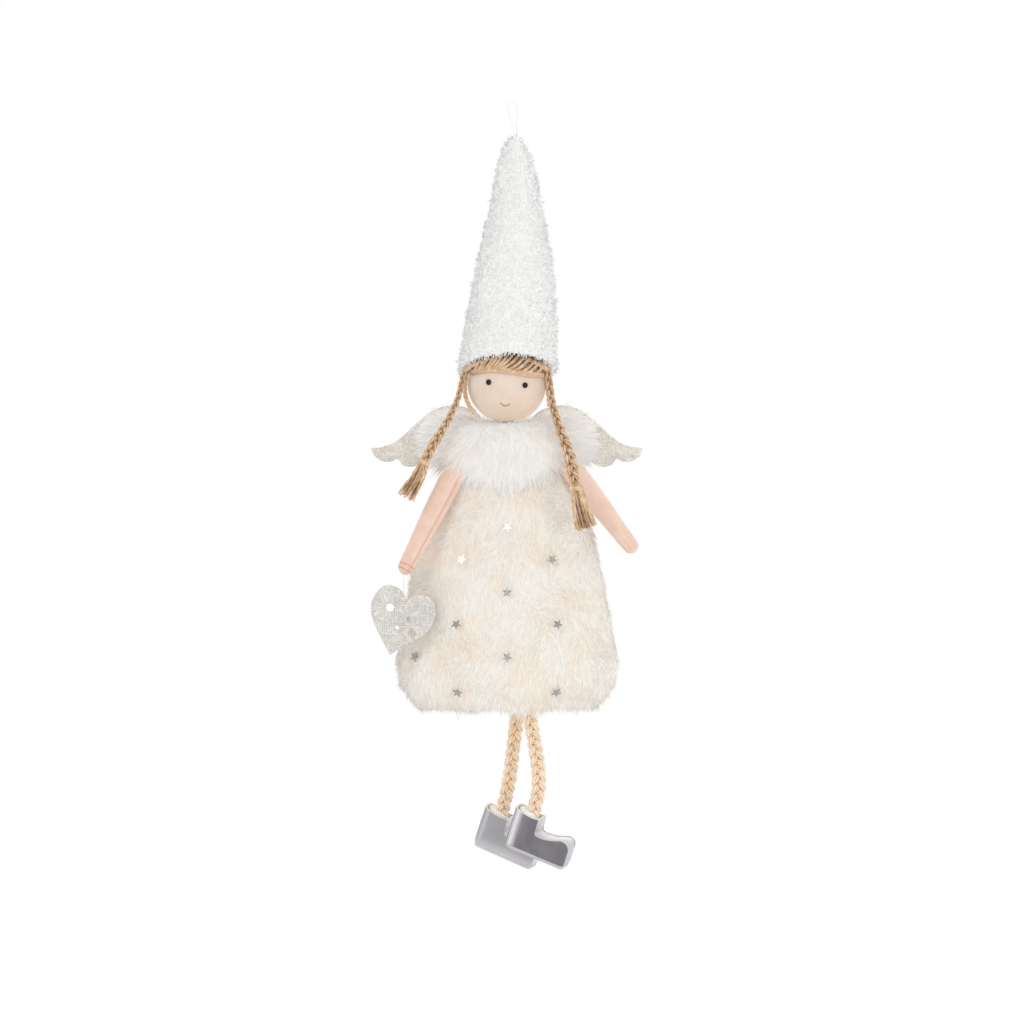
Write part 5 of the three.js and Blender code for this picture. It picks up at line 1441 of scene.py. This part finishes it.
def boot_trims(side, place):
    """Piping along the gusset's seams, the sole, and the white stuffing that shows in the opening."""
    pipes = []
    for y in (-1, 1):
        points = [(x, y * (half_thickness(x) - 0.02), z) for x, z in boot_outline()[5:-8]]
        pipes.append(np.array([place @ spot(p) for p in points]) / MM)
    sewn(strands(f"{side}_boot_piping", pipes, 0.16, BOOT_GUSSET), f"{side}_boot", "boot_leather")
    bm = bmesh.new()
    xs = np.linspace(0.3, BOOT_LENGTH - 0.3, 34)
    plan = [(x, half_thickness(x, 0.3)) for x in xs] + [(x, -half_thickness(x, 0.3)) for x in xs[::-1]]
    face = bm.faces.new([bm.verts.new(spot((x, y, 0))) for x, y in plan])
    raised(bm, [face], spot((0, 0, 1.25)))
    bmesh.ops.transform(bm, matrix=place, verts=bm.verts)
    outward(bm)
    sole = made(f"{side}_boot_outsole", bm, BOOT_GUSSET)
    sole.data.set_sharp_from_angle(angle=math.radians(40))
    sewn(sole, f"{side}_boot", "boot_leather", f"{side}_boot_sole")
    bm = turned([(0, 1.0), (0.35, 0.95), (0.7, 0.7), (0.92, 0.2), (1.0, -1.0), (0.9, -3.0), (0, -3.2)], 32)
    for vert in bm.verts:
        x, y, z = vert.co / MM
        lump = 0.35 * noise.noise(Vector((4 * x, 4 * y, side == "left")))
        vert.co = place @ spot((5.6 + 4.5 * x, 3.5 * y, 15.9 + z + lump - 0.8 * x))
    wad = made(f"{side}_boot_stuffing", bm, WHITE_FELT)
    sewn(wad, f"{side}_boot", "filling", f"{side}_boot_filling")


def soft_boots():
    for side, (heel, pitch) in BOOTS.items():
        place = Matrix.Translation(spot(heel)) @ Matrix.Rotation(BOOT_TURN, 4, "Z")
        place = place @ Matrix.Rotation(math.radians(pitch), 4, "Y") @ Matrix.Rotation(BOOT_ROLL, 4, "X")
        boot_upper(side, place)
        boot_trims(side, place)


def neck_stump():
    bm = turned(NECK_SHAPE, 28)
    bmesh.ops.translate(bm, vec=(HEAD[0] * MM, 0, 0), verts=bm.verts)
    sewn(made("neck_stump", bm, SKIN_KNIT), "torso", "skin_fabric", "neck")


hanging_thread()
rope_legs()
heart_thread()
fleece_hat()
head_ball()
hair_fringe()
yarn_braids()
neck_stump()
plush_dress()
foil_stars()
fur_collar()
stuffed_arms()
heart_charm()
glitter_wings()
soft_boots()

# Stage: a camera straight on as in the photograph, soft lamps, a white surround and a pale floor.
# Each lamp has a place and a width in metres and a power in watts.
MIDDLE = Vector((0, 0, -0.15))
LAMPS = {
    "key_lamp": ((-0.75, -1.05, 0.35), 0.9, 2.2),
    "fill_lamp": ((0.95, -0.9, 0.1), 0.9, 1.95),
    "low_lamp": ((0.05, -1.1, -0.8), 0.8, 1.8),
    "top_lamp": ((0.1, 0.25, 0.75), 0.8, 1.2),
    "side_lamp": ((1.25, 0.1, -0.1), 0.8, 1.3),
    "back_lamp": ((0.35, 1.2, 0.1), 0.9, 2.2),
}


def front_camera():
    data = bpy.data.cameras.new("camera")
    data.lens = 200
    data.sensor_width = 36
    camera = shown("camera", data)
    camera.location = (0, -2.276, -0.1644)
    camera.rotation_euler = (math.radians(90), 0, 0)
    bpy.context.scene.camera = camera


def soft_lamps():
    for name, (place, size, power) in LAMPS.items():
        data = bpy.data.lights.new(name, "AREA")
        data.shape = "DISK"
        data.size = size
        data.energy = power
        thing = shown(name, data)
        thing.location = place
        thing.rotation_euler = (MIDDLE - Vector(place)).to_track_quat("-Z", "Y").to_euler()


def surround():
    world = bpy.data.worlds.new("white_surround")
    world.use_nodes = True
    bpy.context.scene.world = world
    tree = world.node_tree
    sky = tree.nodes["Background"]
    sky.inputs["Color"].default_value = (1, 1, 1, 1)
    path = tree.nodes.new("ShaderNodeLightPath")
    seen = maths(tree, "MAXIMUM", path.outputs["Is Camera Ray"], path.outputs["Is Glossy Ray"])
    seen = maths(tree, "MAXIMUM", seen, path.outputs["Is Transmission Ray"])
    tree.links.new(stretched(tree, seen, 0.0, 1.0, 0.85, 1.0), sky.inputs["Strength"])


def pale_floor():
    bm = bmesh.new()
    bmesh.ops.create_grid(bm, x_segments=8, y_segments=8, size=3.0)
    bmesh.ops.translate(bm, vec=(0, 1.0, -0.42), verts=bm.verts)
    material, tree, shader = finish("pale_floor", 0.9, Specular_IOR_Level=0.1)
    spun = placed_group(tree, FIBRE, Fuzz_Scale=300.0, Tone_Scale=6.0)
    paint = mixed(tree, spun["Tone"], linear("#ffffff"), linear("#fbfbfb"))
    tree.links.new(paint, shader.inputs["Base Color"])
    glow = node(tree, "ShaderNodeEmission", Color=(1, 1, 1, 1), Strength=1.0)
    path = tree.nodes.new("ShaderNodeLightPath")
    share = stretched(tree, path.outputs["Is Camera Ray"], 0.0, 1.0, 0.0, 0.97)
    mix = node(tree, "ShaderNodeMixShader", {0: share, 1: shader.outputs[0], 2: glow.outputs[0]})
    tree.links.new(mix.outputs[0], tree.nodes["Material Output"].inputs["Surface"])
    made("pale_floor", bm, material)


front_camera()
soft_lamps()
surround()
pale_floor()
bpy.context.scene.view_settings.view_transform = "Standard"
